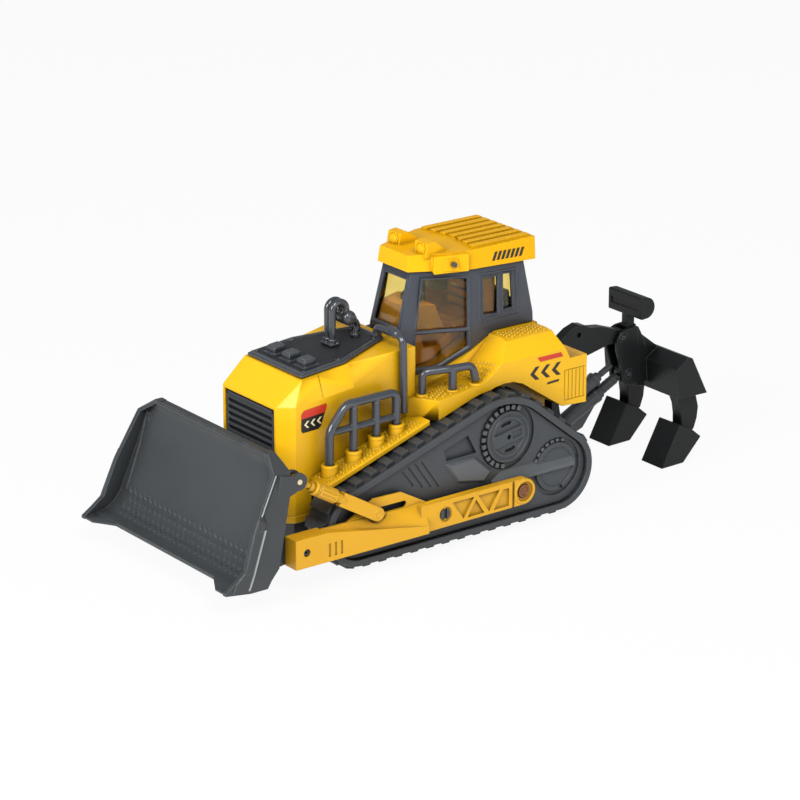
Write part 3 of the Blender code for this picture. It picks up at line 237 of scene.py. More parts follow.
def recast(node, name, finish, width, carve_with=(), add=(), edge_angle=28.0):
    """A CAD solid with rounded edges, cut by some tools and with relief added."""
    bm = cad_copy(node)
    if carve_with:
        bm = carve(bm, *carve_with)
    soften(bm, width, edge_angle)
    merge(bm, *add)
    keep_piece(bm, name, finish, node)


# %% [markdown]
# ## Shapes that details are made of
#
# Nearly every detail of a moulding is one of four shapes: a flat outline given
# thickness, a turned form, a bent bar or a groove cut by another shape.
# Thickened outlines and turned forms are built here from their own profiles,
# so their edges can be rounded before they join the part. Grooves use the
# exact Boolean solver, on closed shapes only.

# %% Skins and thickened outlines
AXES = {"x": (Vector((0, 1, 0)), Vector((0, 0, 1)), Vector((1, 0, 0))),
        "y": (Vector((1, 0, 0)), Vector((0, 0, 1)), Vector((0, 1, 0))),
        "z": (Vector((1, 0, 0)), Vector((0, 1, 0)), Vector((0, 0, 1)))}


def skin(bm, rows, looped=False):
    """Faces between rows of points on the drawing; a row of one point is a tip.
    The ends are capped, unless the last row closes onto the first."""
    rings = [[bm.verts.new(at(*p)) for p in row] for row in rows]
    count = max(len(ring) for ring in rings)
    for one, two in zip(rings, rings[1:] + rings[:1] if looped else rings[1:]):
        for k in range(count):
            n = (k + 1) % count
            if len(one) == 1:
                bm.faces.new((one[0], two[k], two[n]))
            elif len(two) == 1:
                bm.faces.new((one[k], one[n], two[0]))
            else:
                bm.faces.new((one[k], one[n], two[n], two[k]))
    for ring in () if looped else (rings[0], rings[-1]):
        if len(ring) > 1:
            bm.faces.new(ring)
    return bm


def solid(rows, edge=0.0, angle=25.0, segments=2, looped=False):
    """A closed form through rows of points, with rounded edges."""
    bm = skin(bmesh.new(), rows, looped)
    bmesh.ops.recalc_face_normals(bm, faces=bm.faces)
    return soften(bm, edge, angle, segments) if edge else bm


def plate(points, normal, lo, hi, edge, segments=2):
    """A planar loop of points on the drawing, thickened along its normal."""
    return solid([[p + normal * h for p in points] for h in (lo, hi)], edge, 22.0, segments)


def slab(loop, lo, hi, edge, across="y", segments=2):
    """A flat outline in the plane square to an axis, from lo to hi along it."""
    u, v, w = AXES[across]
    return plate([u * p + v * q for p, q in loop], w, lo, hi, edge, segments)


def rectangle(x0, z0, x1, z1):
    """The outline of a rectangle."""
    return [(x0, z0), (x1, z0), (x1, z1), (x0, z1)]


def brick(x0, x1, y0, y1, z0, z1, edge):
    """A block between two places along each axis."""
    return slab(rectangle(x0, z0, x1, z1), min(y0, y1), max(y0, y1), edge)


def ys(side, lo, hi):
    """A range of y for one side of the toy."""
    return (side * lo, side * hi) if side > 0 else (side * hi, side * lo)


def wall(side, loop, lo, hi, edge=0.0, segments=2):
    """An outline seen from the side, between two distances from the middle."""
    return slab(loop, *ys(side, lo, hi), edge, "y", segments)


def grown(loop, by):
    """The same outline moved outward, with as many corners."""
    area = sum(p[0] * q[1] - q[0] * p[1] for p, q in zip(loop, loop[1:] + loop[:1]))
    sign = 1.0 if area > 0 else -1.0
    out = []
    for k, here in enumerate(loop):
        before, after = Vector(loop[k - 1]), Vector(loop[(k + 1) % len(loop)])
        here = Vector(here)
        a, b = (here - before).normalized(), (after - here).normalized()
        na, nb = Vector((a.y, -a.x)) * sign, Vector((b.y, -b.x)) * sign
        middle = (na + nb).normalized()
        out.append(tuple(here + middle * (by / max(0.35, middle.dot(na)))))
    return out


def rim_of(loop, width, lo, hi, lift, edge=0.2):
    """A raised border round an outline. lift places a point and a height."""
    outer = grown(loop, width)
    rows = [[lift(p, q, h) for p, q in line]
            for line, h in ((loop, lo), (loop, hi), (outer, hi), (outer, lo))]
    return solid(rows, edge, 30.0, looped=True)


def arc(cx, cz, r, a0, a1, n):
    """Points from angle a0 to a1, in degrees."""
    return [(cx + r * math.cos(math.radians(a0 + (a1 - a0) * k / n)),
             cz + r * math.sin(math.radians(a0 + (a1 - a0) * k / n))) for k in range(n + 1)]


print("a slab lies across one of", len(AXES), "axes")


# %% [markdown]
# ## Round forms
#
# Pins, bosses, lamps and barrels are lathe work: a profile of radii turned
# round a line. Rails, pipes and hoops are the same circle carried along a path
# whose corners are eased first, so that a bend never pinches.

# %% Turned forms and bent bars
def spokes(u, v, count):
    """Directions evenly round a circle in the plane of u and v."""
    return [u * math.cos(t) + v * math.sin(t)
            for t in (2 * math.pi * k / count for k in range(count))]


def turned(profile, start, end, steps):
    """Radii and distances along the line from start to end, turned round it.
    The first and last radius may be zero."""
    a, b = Vector(start), Vector(end)
    axis = (b - a).normalized()
    side = axis.orthogonal().normalized()
    circle = spokes(side, axis.cross(side), steps)
    return solid([[a + axis * h + way * r for way in circle] if r > 0.0 else [a + axis * h]
                  for r, h in profile])


def upright(profile, x, y, z, steps):
    """A turned form that stands on a point."""
    return turned(profile, (x, y, z), (x, y, z + 1), steps)


def peg(start, end, r, chamfer, steps=28):
    """A plain pin with a small chamfer at each end."""
    length = (Vector(end) - Vector(start)).length
    c = min(chamfer, length / 3)
    return turned([(r - c, 0), (r, c), (r, length - c), (r - c, length)], start, end, steps)


def tapped(start, end, r, bore, depth, c, steps):
    """A chamfered pin with a round hole sunk in its far end."""
    length = (Vector(end) - Vector(start)).length
    return turned([(r - c, 0), (r, c), (r, length - c), (r - c, length), (bore + 0.15, length),
                   (bore, length - 0.25), (bore, length - depth), (0, length - depth)],
                  start, end, steps)


BEND_STEPS = 8


def eased(points, radius):
    """A path of points with its corners bent to a radius."""
    path = [Vector(points[0])]
    for before, here, after in zip(points, points[1:], points[2:]):
        a, b, c = Vector(before), Vector(here), Vector(after)
        u, w = (a - b).normalized(), (c - b).normalized()
        reach = min(radius, (a - b).length / 2.05, (c - b).length / 2.05)
        for k in range(BEND_STEPS + 1):
            t = k / BEND_STEPS
            path.append((b + u * reach).lerp(b, t).lerp(b.lerp(b + w * reach, t), t))
    path.append(Vector(points[-1]))
    return path


def bar(points, r, radius=5.0, sides=18, cap=0.4):
    """A round bar bent along a path, with eased ends."""
    path = eased(points, radius) if radius else [Vector(p) for p in points]
    path = [p for k, p in enumerate(path) if k == 0 or (p - path[k - 1]).length > 1e-4]
    first, last = (path[1] - path[0]).normalized(), (path[-1] - path[-2]).normalized()
    path = [path[0], path[0] + first * cap] + path[1:-1] + [path[-1] - last * cap, path[-1]]
    radii = [r - cap] + [r] * (len(path) - 2) + [r - cap]
    side = first.orthogonal().normalized()
    rows = []
    for k, (p, size) in enumerate(zip(path, radii)):
        ahead = path[min(k + 1, len(path) - 1)] - path[max(k - 1, 0)]
        ahead.normalize()
        side = (side - ahead * side.dot(ahead)).normalized()
        rows.append([p + way * size for way in spokes(side, ahead.cross(side), sides)])
    return solid(rows)


print("a bend has", BEND_STEPS, "steps")


# %% Joining and carving
def merge(bm, *others):
    """Add closed forms to a mesh under construction."""
    for other in others:
        spare = bpy.data.meshes.new("spare")
        other.to_mesh(spare)
        other.free()
        bm.from_mesh(spare)
        bpy.data.meshes.remove(spare)
    return bm


def as_object(bm, name):
    mesh = bpy.data.meshes.new(name)
    bm.to_mesh(mesh)
    bm.free()
    thing = bpy.data.objects.new(name, mesh)
    bpy.context.scene.collection.objects.link(thing)
    return thing


def carve(bm, *tools):
    """Cut closed tools out of a mesh under construction."""
    base = as_object(bm, "base")
    spare = [as_object(tool, "tool") for tool in tools]
    for tool in spare:
        cut = base.modifiers.new("cut", "BOOLEAN")
        cut.operation = "DIFFERENCE"
        cut.solver = "EXACT"
        cut.object = tool
    graph = bpy.context.evaluated_depsgraph_get()
    result = bpy.data.meshes.new_from_object(base.evaluated_get(graph))
    out = bmesh.new()
    out.from_mesh(result)
    bmesh.ops.remove_doubles(out, verts=out.verts, dist=2e-6)
    bmesh.ops.dissolve_degenerate(out, dist=0.05 * MM, edges=out.edges)
    bpy.data.meshes.remove(result)
    for thing in [base] + spare:
        mesh = thing.data
        bpy.data.objects.remove(thing, do_unlink=True)
        bpy.data.meshes.remove(mesh)
    return out


def mirrored(make):
    """Build a left-hand form and its right-hand twin."""
    make(LEFT)
    make(RIGHT)


print("shape helpers are ready")


# %% [markdown]
# ## Plastic that looks moulded
#
# Toy plastic is never one flat colour. The tool leaves a very fine grain that
# breaks up reflections, and the pigment drifts a little from place to place.
# Edges are painted paler, partly as the polish of handling and partly as a
# painted highlight, and creases are painted darker as painted shade. One node
# group does it all for every finish: it takes the colour and how strong each
# effect is, and gives back a colour, a roughness and a normal. The edge mask
# compares the true normal with one that is rounded over, and the painted shade
# comes from an ambient occlusion reading, so neither needs a texture.

# %% Node helpers
def wire(group, a, b):
    group.links.new(a, b)


def feed(group, socket, value):
    """Set a socket to a plain value, or wire another socket to it."""
    if isinstance(value, (int, float, tuple)):
        socket.default_value = value
    else:
        wire(group, value, socket)


def math_node(group, operation, first, second):
    node = group.nodes.new("ShaderNodeMath")
    node.operation = operation
    feed(group, node.inputs[0], first)
    feed(group, node.inputs[1], second)
    return node.outputs[0]


def mix_colour(group, factor, one, two):
    node = group.nodes.new("ShaderNodeMix")
    node.data_type = "RGBA"
    for k, value in ((0, factor), (6, one), (7, two)):
        feed(group, node.inputs[k], value)
    return node.outputs[2]


def noise(group, place, scale, detail=2.0):
    node = group.nodes.new("ShaderNodeTexNoise")
    node.inputs["Scale"].default_value = scale
    node.inputs["Detail"].default_value = detail
    wire(group, place, node.inputs["Vector"])
    return node.outputs[0]


print("node helpers are ready")


# %% Node group: moulded surface
EDGE_ROUND, GRAIN_DEPTH = 0.55 * MM, 0.06 * MM
DRIFT_SCALE, STREAK_SCALE, PATCH_SCALE, GRAIN_SCALE = 22.0, 60.0, 160.0, 2600.0
# Painted shade: how strongly and how deep the colour darkens in creases and near other parts.
PAINTED_SHADE_POWER, PAINTED_SHADE_FLOOR = 1.5, 0.24


def make_moulded_group():
    group = bpy.data.node_groups.new("moulded_surface", "ShaderNodeTree")
    for title, kind, value in (("Colour", "Color", (0.5, 0.5, 0.5, 1.0)),
                               ("Edge colour", "Color", (0.7, 0.7, 0.7, 1.0)),
                               ("Edge amount", "Float", 0.5), ("Roughness", "Float", 0.4),
                               ("Drift", "Float", 0.06), ("Grain", "Float", 0.3),
                               ("Reach", "Float", 0.01)):
        socket = group.interface.new_socket(name=title, in_out="INPUT",
                                            socket_type="NodeSocket" + kind)
        socket.default_value = value
    for title, kind in (("Colour", "Color"), ("Roughness", "Float"), ("Normal", "Vector")):
        group.interface.new_socket(name=title, in_out="OUTPUT", socket_type="NodeSocket" + kind)
    entry = group.nodes.new("NodeGroupInput")
    leave = group.nodes.new("NodeGroupOutput")
    place = group.nodes.new("ShaderNodeTexCoord").outputs["Object"]
    true = group.nodes.new("ShaderNodeNewGeometry").outputs["Normal"]
    round_over = group.nodes.new("ShaderNodeBevel")
    round_over.samples = 4
    round_over.inputs["Radius"].default_value = EDGE_ROUND
    # Paler edges where the rounded normal turns from the true one: partly handling wear, partly a painted highlight.
    turn = group.nodes.new("ShaderNodeVectorMath")
    turn.operation = "DOT_PRODUCT"
    wire(group, round_over.outputs[0], turn.inputs[0])
    wire(group, true, turn.inputs[1])
    bend = math_node(group, "SUBTRACT", 1.0, turn.outputs["Value"])
    edge = math_node(group, "MINIMUM", math_node(group, "MULTIPLY", bend, 5.0), 1.0)
    patchy = noise(group, place, PATCH_SCALE)
    edge = math_node(group, "MULTIPLY", edge, math_node(group, "MULTIPLY", patchy, 1.6))
    edge = math_node(group, "MULTIPLY", edge, entry.outputs["Edge amount"])
    drift = math_node(group, "SUBTRACT", noise(group, place, DRIFT_SCALE), 0.5)
    drift = math_node(group, "MULTIPLY", drift, entry.outputs["Drift"])
    lighter = group.nodes.new("ShaderNodeHueSaturation")
    wire(group, math_node(group, "ADD", math_node(group, "MULTIPLY", drift, 4.0), 1.0),
         lighter.inputs["Value"])
    wire(group, entry.outputs["Colour"], lighter.inputs["Color"])
    # Painted shade: an ambient occlusion reading darkens the colour in creases, recesses and near other parts.
    painted_shade_ao = group.nodes.new("ShaderNodeAmbientOcclusion")
    painted_shade_ao.samples = 6
    wire(group, entry.outputs["Reach"], painted_shade_ao.inputs["Distance"])
    shade = math_node(group, "POWER", painted_shade_ao.outputs["AO"], PAINTED_SHADE_POWER)
    shade = math_node(group, "MULTIPLY", shade, 1.0 - PAINTED_SHADE_FLOOR)
    shade = math_node(group, "ADD", shade, PAINTED_SHADE_FLOOR)
    dim = group.nodes.new("ShaderNodeHueSaturation")
    wire(group, shade, dim.inputs["Value"])
    wire(group, mix_colour(group, edge, lighter.outputs[0], entry.outputs["Edge colour"]),
         dim.inputs["Color"])
    wire(group, dim.outputs[0], leave.inputs["Colour"])
    streak = math_node(group, "SUBTRACT", noise(group, place, STREAK_SCALE), 0.5)
    streak = math_node(group, "MULTIPLY", streak, 0.16)
    wire(group, math_node(group, "ADD", entry.outputs["Roughness"], streak), leave.inputs["Roughness"])
    grain = group.nodes.new("ShaderNodeBump")
    grain.inputs["Distance"].default_value = GRAIN_DEPTH
    wire(group, entry.outputs["Grain"], grain.inputs["Strength"])
    wire(group, noise(group, place, GRAIN_SCALE, 3.0), grain.inputs["Height"])
    wire(group, round_over.outputs[0], grain.inputs["Normal"])
    wire(group, grain.outputs[0], leave.inputs["Normal"])
    return group


MOULDED = make_moulded_group()
print("moulded_surface has", len(MOULDED.nodes), "nodes")


# %% [markdown]
# ## The finishes
#
# Each colour of plastic is one material that places the group with its own
# values. Gloss differs from part to part on purpose: bodywork comes out of a
# polished tool, the blade and the track out of a grained one, and the engine
# cover and its pipes are shinier again. The gloss of plastic comes from the
# shader's own specular reflection, and the clear lacquer on the brightest
# mouldings from a little coat.

# %% Materials
FINISH, SLOT = {}, {}


# edge is the colour of the paler edges and edge_wear_and_highlight how strong they are: partly wear, partly a painted
# highlight.
def plastic(name, slot, colour, edge, rough, drift, grain, edge_wear_and_highlight, coat=0.0,
            specular=0.5, metal=0.0, reach=12.0):
    """A finish for one material slot. reach is how far the painted shade in creases and near other parts spreads, in
    mm.
    """
    mat = bpy.data.materials.new(name)
    mat.use_nodes = True
    tree = mat.node_tree
    shader = tree.nodes["Principled BSDF"]
    surface = tree.nodes.new("ShaderNodeGroup")
    surface.node_tree = MOULDED
    for title, value in (("Colour", (*colour, 1.0)), ("Edge colour", (*edge, 1.0)),
                         ("Roughness", rough), ("Edge amount", edge_wear_and_highlight), ("Drift", drift),
                         ("Grain", grain), ("Reach", reach * MM)):
        surface.inputs[title].default_value = value
    for title, socket in (("Colour", "Base Color"), ("Roughness", "Roughness"), ("Normal", "Normal")):
        wire(tree, surface.outputs[title], shader.inputs[socket])
    shader.inputs["Specular IOR Level"].default_value = specular
    shader.inputs["Metallic"].default_value = metal
    shader.inputs["Coat Weight"].default_value = coat
    shader.inputs["Coat Roughness"].default_value = 0.12
    FINISH[name], SLOT[name] = mat, slot


# reach sets how far the painted shade in creases spreads on each finish.
plastic("bodywork_yellow", "yellow", (0.88, 0.48, 0.008), (1.0, 0.72, 0.10), 0.30, 0.03, 0.12, 0.45,
        specular=0.32, reach=18.0)
plastic("arm_yellow", "arm_yellow", (0.72, 0.37, 0.012), (0.95, 0.62, 0.12), 0.34, 0.04, 0.2, 0.5,
        specular=0.35, reach=9.0)
plastic("blade_slate", "slate", (0.038, 0.043, 0.046), (0.17, 0.18, 0.185), 0.44, 0.10, 0.5, 0.7)
plastic("track_slate", "track", (0.045, 0.051, 0.057), (0.15, 0.16, 0.17), 0.46, 0.08, 0.5, 0.65)
plastic("cab_blue_grey", "cab_frame", (0.046, 0.053, 0.068), (0.18, 0.20, 0.24), 0.32, 0.06, 0.3, 0.6)
plastic("gloss_black", "black", (0.046, 0.052, 0.060), (0.20, 0.21, 0.23), 0.26, 0.06, 0.15, 0.7, 0.3)
plastic("pipe_black", "cab_frame", (0.040, 0.045, 0.052), (0.18, 0.19, 0.20), 0.18, 0.05, 0.1, 0.4, 0.5)
# The ripper is black plastic, and its black is darker still than the other blacks as painted shade from the body in
# front of the lamps.
plastic("ripper_black", "black", (0.010, 0.0115, 0.012), (0.11, 0.12, 0.12), 0.34, 0.08, 0.4, 0.8,
        specular=0.22)
plastic("link_black", "black", (0.030, 0.034, 0.037), (0.16, 0.17, 0.17), 0.32, 0.08, 0.3, 0.8)
plastic("chassis_black", "black", (0.018, 0.019, 0.021), (0.08, 0.085, 0.09), 0.5, 0.08, 0.5, 0.4)
plastic("cylinder_slate", "slate", (0.040, 0.045, 0.049), (0.16, 0.17, 0.17), 0.32, 0.06, 0.3, 0.6)
plastic("seat_brown", "brown", (0.40, 0.17, 0.026), (0.4, 0.18, 0.05), 0.5, 0.12, 0.6, 0.4, reach=3.0)
plastic("pin_cream", "cream", (0.66, 0.56, 0.36), (0.8, 0.72, 0.55), 0.42, 0.05, 0.2, 0.3)
# A paler grey of the track plastic for the relief of rail, motor box and teeth: a painted highlight on faces that
# catch the light.
plastic("track_worn", "track", (0.085, 0.092, 0.098), (0.24, 0.25, 0.26), 0.42, 0.10, 0.4, 0.6)
plastic("rail_gloss", "cab_frame", (0.046, 0.053, 0.066), (0.20, 0.22, 0.26), 0.20, 0.05, 0.15, 0.4, 0.5)
# A pale grey of the blade plastic for thin strips on the end plates: a painted highlight along chamfers that catch the
# light.
plastic("wear_strip", "slate", (0.34, 0.35, 0.35), (0.5, 0.5, 0.5), 0.40, 0.08, 0.2, 0.3)
# A bright amber for the dashboard, brighter than the brown moulding: painted light for the lamp light that the glazing
# keeps out.
plastic("console_amber", "brown", (1.0, 0.50, 0.014), (0.8, 0.40, 0.05), 0.40, 0.10, 0.3, 0.4,
        reach=3.0)
# The lift pin heads are arm-yellow plastic sunk in a bore, given a dark brown as painted shade.
plastic("lift_brown", "arm_yellow", (0.22, 0.075, 0.012), (0.45, 0.2, 0.05), 0.42, 0.08, 0.2, 0.5)
# A deeper yellow for the roof and its lamps: painted shade, as the roof is lit less than the hood.
plastic("roof_yellow", "yellow", (0.86, 0.44, 0.004), (1.0, 0.68, 0.05), 0.34, 0.03, 0.12, 0.5,
        specular=0.15, reach=4.0)
plastic("wheel_rubber", "wheel", (0.024, 0.024, 0.025), (0.06, 0.06, 0.06), 0.72, 0.12, 0.8, 0.4)
plastic("gear_nylon", "gear", (0.72, 0.72, 0.66), (0.85, 0.85, 0.8), 0.42, 0.04, 0.2, 0.2)
plastic("pin_steel", "steel", (0.55, 0.56, 0.58), (0.75, 0.76, 0.78), 0.28, 0.06, 0.3, 0.4, metal=1.0)
plastic("label_red", "yellow", (0.62, 0.035, 0.012), (0.7, 0.1, 0.06), 0.34, 0.10, 0.1, 0.2)
plastic("label_black", "yellow", (0.014, 0.010, 0.006), (0.05, 0.05, 0.05), 0.34, 0.10, 0.1, 0.2)
plastic("label_cream", "yellow", (0.86, 0.80, 0.52), (0.9, 0.85, 0.7), 0.36, 0.06, 0.1, 0.1)
print("finishes:", len(FINISH))


# %% [markdown]
# ## Tinted glazing
#
# The windows are clear styrene tinted amber, so what is behind them shows
# through in brown and orange. Transmission does that honestly: the pane's
# colour is on the shader's own socket, and only its roughness and normal come
# from nodes, with the slow ripple that thin moulded sheet has.

# %% Amber glass
def amber_glass():
    mat = bpy.data.materials.new("amber_glass")
    mat.use_nodes = True
    tree = mat.node_tree
    shader = tree.nodes["Principled BSDF"]
    shader.inputs["Base Color"].default_value = (0.96, 0.84, 0.42, 1.0)
    shader.inputs["Transmission Weight"].default_value = 1.0
    shader.inputs["IOR"].default_value = 1.45
    place = tree.nodes.new("ShaderNodeTexCoord").outputs["Object"]
    ripple = tree.nodes.new("ShaderNodeBump")
    ripple.inputs["Distance"].default_value = 0.15 * MM
    ripple.inputs["Strength"].default_value = 0.25
    wire(tree, noise(tree, place, 70.0), ripple.inputs["Height"])
    wire(tree, ripple.outputs[0], shader.inputs["Normal"])
    haze = math_node(tree, "ADD", math_node(tree, "MULTIPLY", noise(tree, place, 120.0), 0.06), 0.05)
    wire(tree, haze, shader.inputs["Roughness"])
    FINISH["amber_glass"], SLOT["amber_glass"] = mat, "amber_glass"


amber_glass()
print("finishes with the glass:", len(FINISH))


# %% [markdown]
# ## Camera, floor and light
#
# A toy catalogue shows the model three-quarters on from its front left, a
# little from above, with a long lens so that the far side hardly shrinks. The
# light is a soft box at the front and one high on the left, with a weak one
# along the side and the world as fill. The floor and the world are white only
# to the camera and in glass and gloss, so they don't light the toy.

# %% Camera
EYE_FROM_ZERO = Vector((1.1247, 1.4940, 0.7111))
EYE_RIGHT, EYE_FORWARD = Vector((-0.7990, 0.6014, 0.0)), Vector((-0.5671, -0.7534, -0.3330))
LONG_LENS = 150.53


def place_camera():
    camera = bpy.data.cameras.new("camera")
    camera.lens = LONG_LENS
    camera.sensor_width = 36.0
    camera.clip_start = 0.05
    camera.clip_end = 20.0
    eye = bpy.data.objects.new("camera", camera)
    right, forward = EYE_RIGHT.normalized(), EYE_FORWARD.normalized()
    up = right.cross(forward).normalized()
    turn = Matrix((right, up, -forward)).transposed().to_4x4()
    eye.matrix_world = Matrix.Translation(ZERO + EYE_FROM_ZERO) @ turn
    bpy.context.scene.collection.objects.link(eye)
    bpy.context.scene.camera = eye


place_camera()
print("camera stands", round(EYE_FROM_ZERO.length, 2), "m from the drawing's zero")


# %% Floor, lamps and world
FLOOR_HALF, FLOOR_GAP, FLOOR_WHITE, WORLD_FILL = 3.0, 0.0002, 0.93, 0.30
LAMP_AIM = Vector((0.0, 0.0, 0.07))


def blend(tree, share, lit, backdrop):
    """Mix what lights the toy with the plain white that is seen behind it."""
    mix = tree.nodes.new("ShaderNodeMixShader")
    for k, socket in enumerate((share, lit, backdrop)):
        wire(tree, socket, mix.inputs[k])
    return mix.outputs[0]


def seen_by(tree, *rays):
    """1 where a ray of one of these kinds looks, else 0."""
    path = tree.nodes.new("ShaderNodeLightPath")
    seen = path.outputs["Is Camera Ray"]
    for ray in rays:
        seen = math_node(tree, "MAXIMUM", seen, path.outputs[f"Is {ray} Ray"])
    return seen


def build_floor():
    bm = bmesh.new()
    bmesh.ops.create_grid(bm, x_segments=8, y_segments=8, size=FLOOR_HALF)
    floor = as_object(bm, "studio_floor")
    floor.location = (0, 0, -FLOOR_GAP)
    mat = bpy.data.materials.new("pale_floor")
    mat.use_nodes = True
    tree = mat.node_tree
    shader = tree.nodes["Principled BSDF"]
    place = tree.nodes.new("ShaderNodeTexCoord").outputs["Object"]
    tone = mix_colour(tree, noise(tree, place, 3.0), (0.80, 0.80, 0.80, 1.0), (0.83, 0.83, 0.83, 1.0))
    wire(tree, tone, shader.inputs["Base Color"])
    shader.inputs["Roughness"].default_value = 0.9
    shader.inputs["Specular IOR Level"].default_value = 0.0
    white = tree.nodes.new("ShaderNodeEmission")
    share = math_node(tree, "MULTIPLY", seen_by(tree, "Glossy", "Transmission"), FLOOR_WHITE)
    wire(tree, blend(tree, share, shader.outputs[0], white.outputs[0]),
         tree.nodes["Material Output"].inputs["Surface"])
    floor.data.materials.append(mat)
    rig.stage(floor)


def area_light(name, place, size, power):
    lamp = bpy.data.lights.new(name, "AREA")
    lamp.shape = "RECTANGLE"
    lamp.size, lamp.size_y = size
    lamp.energy = power
    holder = bpy.data.objects.new(name, lamp)
    holder.location = place
    holder.rotation_euler = (LAMP_AIM - Vector(place)).to_track_quat("-Z", "Y").to_euler()
    bpy.context.scene.collection.objects.link(holder)


def build_world():
    world = bpy.data.worlds.new("studio")
    bpy.context.scene.world = world
    world.use_nodes = True
    tree = world.node_tree
    tree.nodes.clear()
    fill = tree.nodes.new("ShaderNodeBackground")
    fill.inputs["Color"].default_value = (0.95, 0.97, 1.0, 1.0)
    fill.inputs["Strength"].default_value = WORLD_FILL
    white = tree.nodes.new("ShaderNodeBackground")
    white.inputs["Strength"].default_value = 1.0
    out = tree.nodes.new("ShaderNodeOutputWorld")
    wire(tree, blend(tree, seen_by(tree, "Transmission"), fill.outputs[0], white.outputs[0]),
         out.inputs["Surface"])


build_floor()
build_world()
area_light("key_front", (1.6, 0.35, 0.85), (0.7, 0.7), 22.0)
area_light("high_left", (0.7, 1.2, 1.4), (0.8, 0.8), 24.0)
area_light("side_fill", (-0.4, 1.9, 0.5), (1.0, 0.6), 4.0)
bpy.context.scene.view_settings.view_transform = "Standard"
print("camera, floor and lamps are in place")


# %% [markdown]
# ## Finding the surface to work on
#
# A label, a rim or a row of studs has to lie on a moulding that slopes. Rather
# than repeat each slope, the script drops a line onto the CAD solid from the
# side, from above or from the front, and reads where it lands.

# %% Places on the CAD surfaces
from mathutils.bvhtree import BVHTree

surfaces = {}


def drawn(point):
    """A point of the frame, in millimetres on the drawing."""
    return (point - ZERO) / MM


def span(node):
    """Lowest and highest corner of a CAD node on the drawing."""
    low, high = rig.box(node)
    return drawn(low), drawn(high)


def land(node, start, direction):
    """Where a line first meets a CAD node, on the drawing."""
    if node not in surfaces:
        mesh = frame["nodes"][node].data
        mesh.calc_loop_triangles()
        surfaces[node] = BVHTree.FromPolygons([v.co for v in mesh.vertices],
                                              [t.vertices for t in mesh.loop_triangles])
    hit = surfaces[node].ray_cast(at(*start), Vector(direction))[0]
    if hit is None:
        raise ValueError(f"{node}: nothing to land on from {tuple(start)}")
    return drawn(hit)


def on_side(node, side):
    """Lift for details on a side face: x and z of the drawing, and a height."""
    return lambda x, z, h: (x, side * (abs(land(node, (x, side * 130, z), (0, -side, 0)).y) + h), z)


def on_top(node):
    return lambda x, y, h: (x, y, land(node, (x, y, 200), (0, 0, -1)).z + h)


def on_front(node):
    return lambda y, z, h: (land(node, (200, y, z), (-1, 0, 0)).x + h, y, z)


def patch(loop, lo, hi, lift, edge=0.0):
    """A thin closed sheet lying on a surface, such as a label."""
    return solid([[lift(p, q, h) for p, q in loop] for h in (lo, hi)], edge)


def hull(points, edge):
    """The convex solid through its corners, with rounded edges."""
    bm = bmesh.new()
    for p in points:
        bm.verts.new(at(*p))
    bmesh.ops.convex_hull(bm, input=bm.verts)
    bmesh.ops.delete(bm, geom=[v for v in bm.verts if not v.link_faces], context="VERTS")
    bmesh.ops.dissolve_limit(bm, angle_limit=0.01, verts=bm.verts, edges=bm.edges)
    return soften(bm, edge, 20.0)


print("roof top is at", round(land("cab_roof", (-60, 0, 200), (0, 0, -1)).z, 2), "mm on the drawing")


# %% [markdown]
# ## Studs and screws
#
# Two small forms come back all over the toy. Studs make a walkway read as
# anti-slip plate: they stand in staggered rows and are left out wherever the
# moulding turns away too steeply. Screw heads are turned domes with a cross
# cut into them.

# %% Studs and screw heads
STUD_PITCH, STUD_RADIUS, STUD_HEIGHT = 3.1, 0.95, 1.0


def studs(corners, lift, skip):
    """Rows of low six-sided studs inside a four-cornered area, where it is level enough."""
    a, b, c, d = (Vector(p) for p in corners)
    across = max(2, round(((b - a).length + (c - d).length) / 2 / STUD_PITCH))
    along = max(2, round(((d - a).length + (c - b).length) / 2 / STUD_PITCH))
    turns = [(math.cos(k * math.pi / 3), math.sin(k * math.pi / 3)) for k in range(6)]
    bm = bmesh.new()
    for i in range(along):
        for j in range(across):
            s = (j + (0.75 if i % 2 else 0.25)) / across
            p, q = a.lerp(b, s).lerp(d.lerp(c, s), (i + 0.5) / along)
            if skip(p, q):
                continue
            try:
                foot = [Vector(lift(p + STUD_RADIUS * u, q + STUD_RADIUS * v, 0.0)) for u, v in turns]
            except ValueError:
                continue
            middle = sum(foot, Vector()) / 6
            out = (foot[2] - foot[0]).cross(foot[4] - foot[0]).normalized()
            if max(abs((f - middle).dot(out)) for f in foot) > 0.15 or abs(out.z) < 0.4:
                continue
            out = out if out.z > 0 else -out
            skin(bm, [[f + (middle - f) * inward + out * h for f in foot]
                      for inward, h in ((0.0, -0.3), (0.0, 0.0), (0.5, STUD_HEIGHT))])
    bmesh.ops.recalc_face_normals(bm, faces=bm.faces)
    return bm


def screw_head(centre, out):
    """A dome head with a cross recess, facing along out."""
    r, depth = 1.9, 0.7
    start, way = Vector(centre), Vector(out).normalized()
    head = turned([(r, 0), (r, depth * 0.4), (r * 0.75, depth), (0, depth)], start, start + way, 20)
    u = way.orthogonal().normalized()
    v = way.cross(u)
    bars = [plate([start + one * r * 0.62 * s + two * r * 0.16 * t for s, t in rectangle(-1, -1, 1, 1)],
                  way, depth * 0.45, depth + 1, 0) for one, two in ((u, v), (v, u))]
    return carve(head, *bars)


print("studs stand", STUD_PITCH, "mm apart")


# %% [markdown]
# ## Chassis and running gear
#
# The tub is the plain black box that the toy stands on. Its underside carries
# what every such toy has: a battery door with a finger notch, screw wells in
# the corners and stiffening ribs. The four wheels are turned, with three
# grooves in the tread, and the axles are drawn steel with chamfered ends.

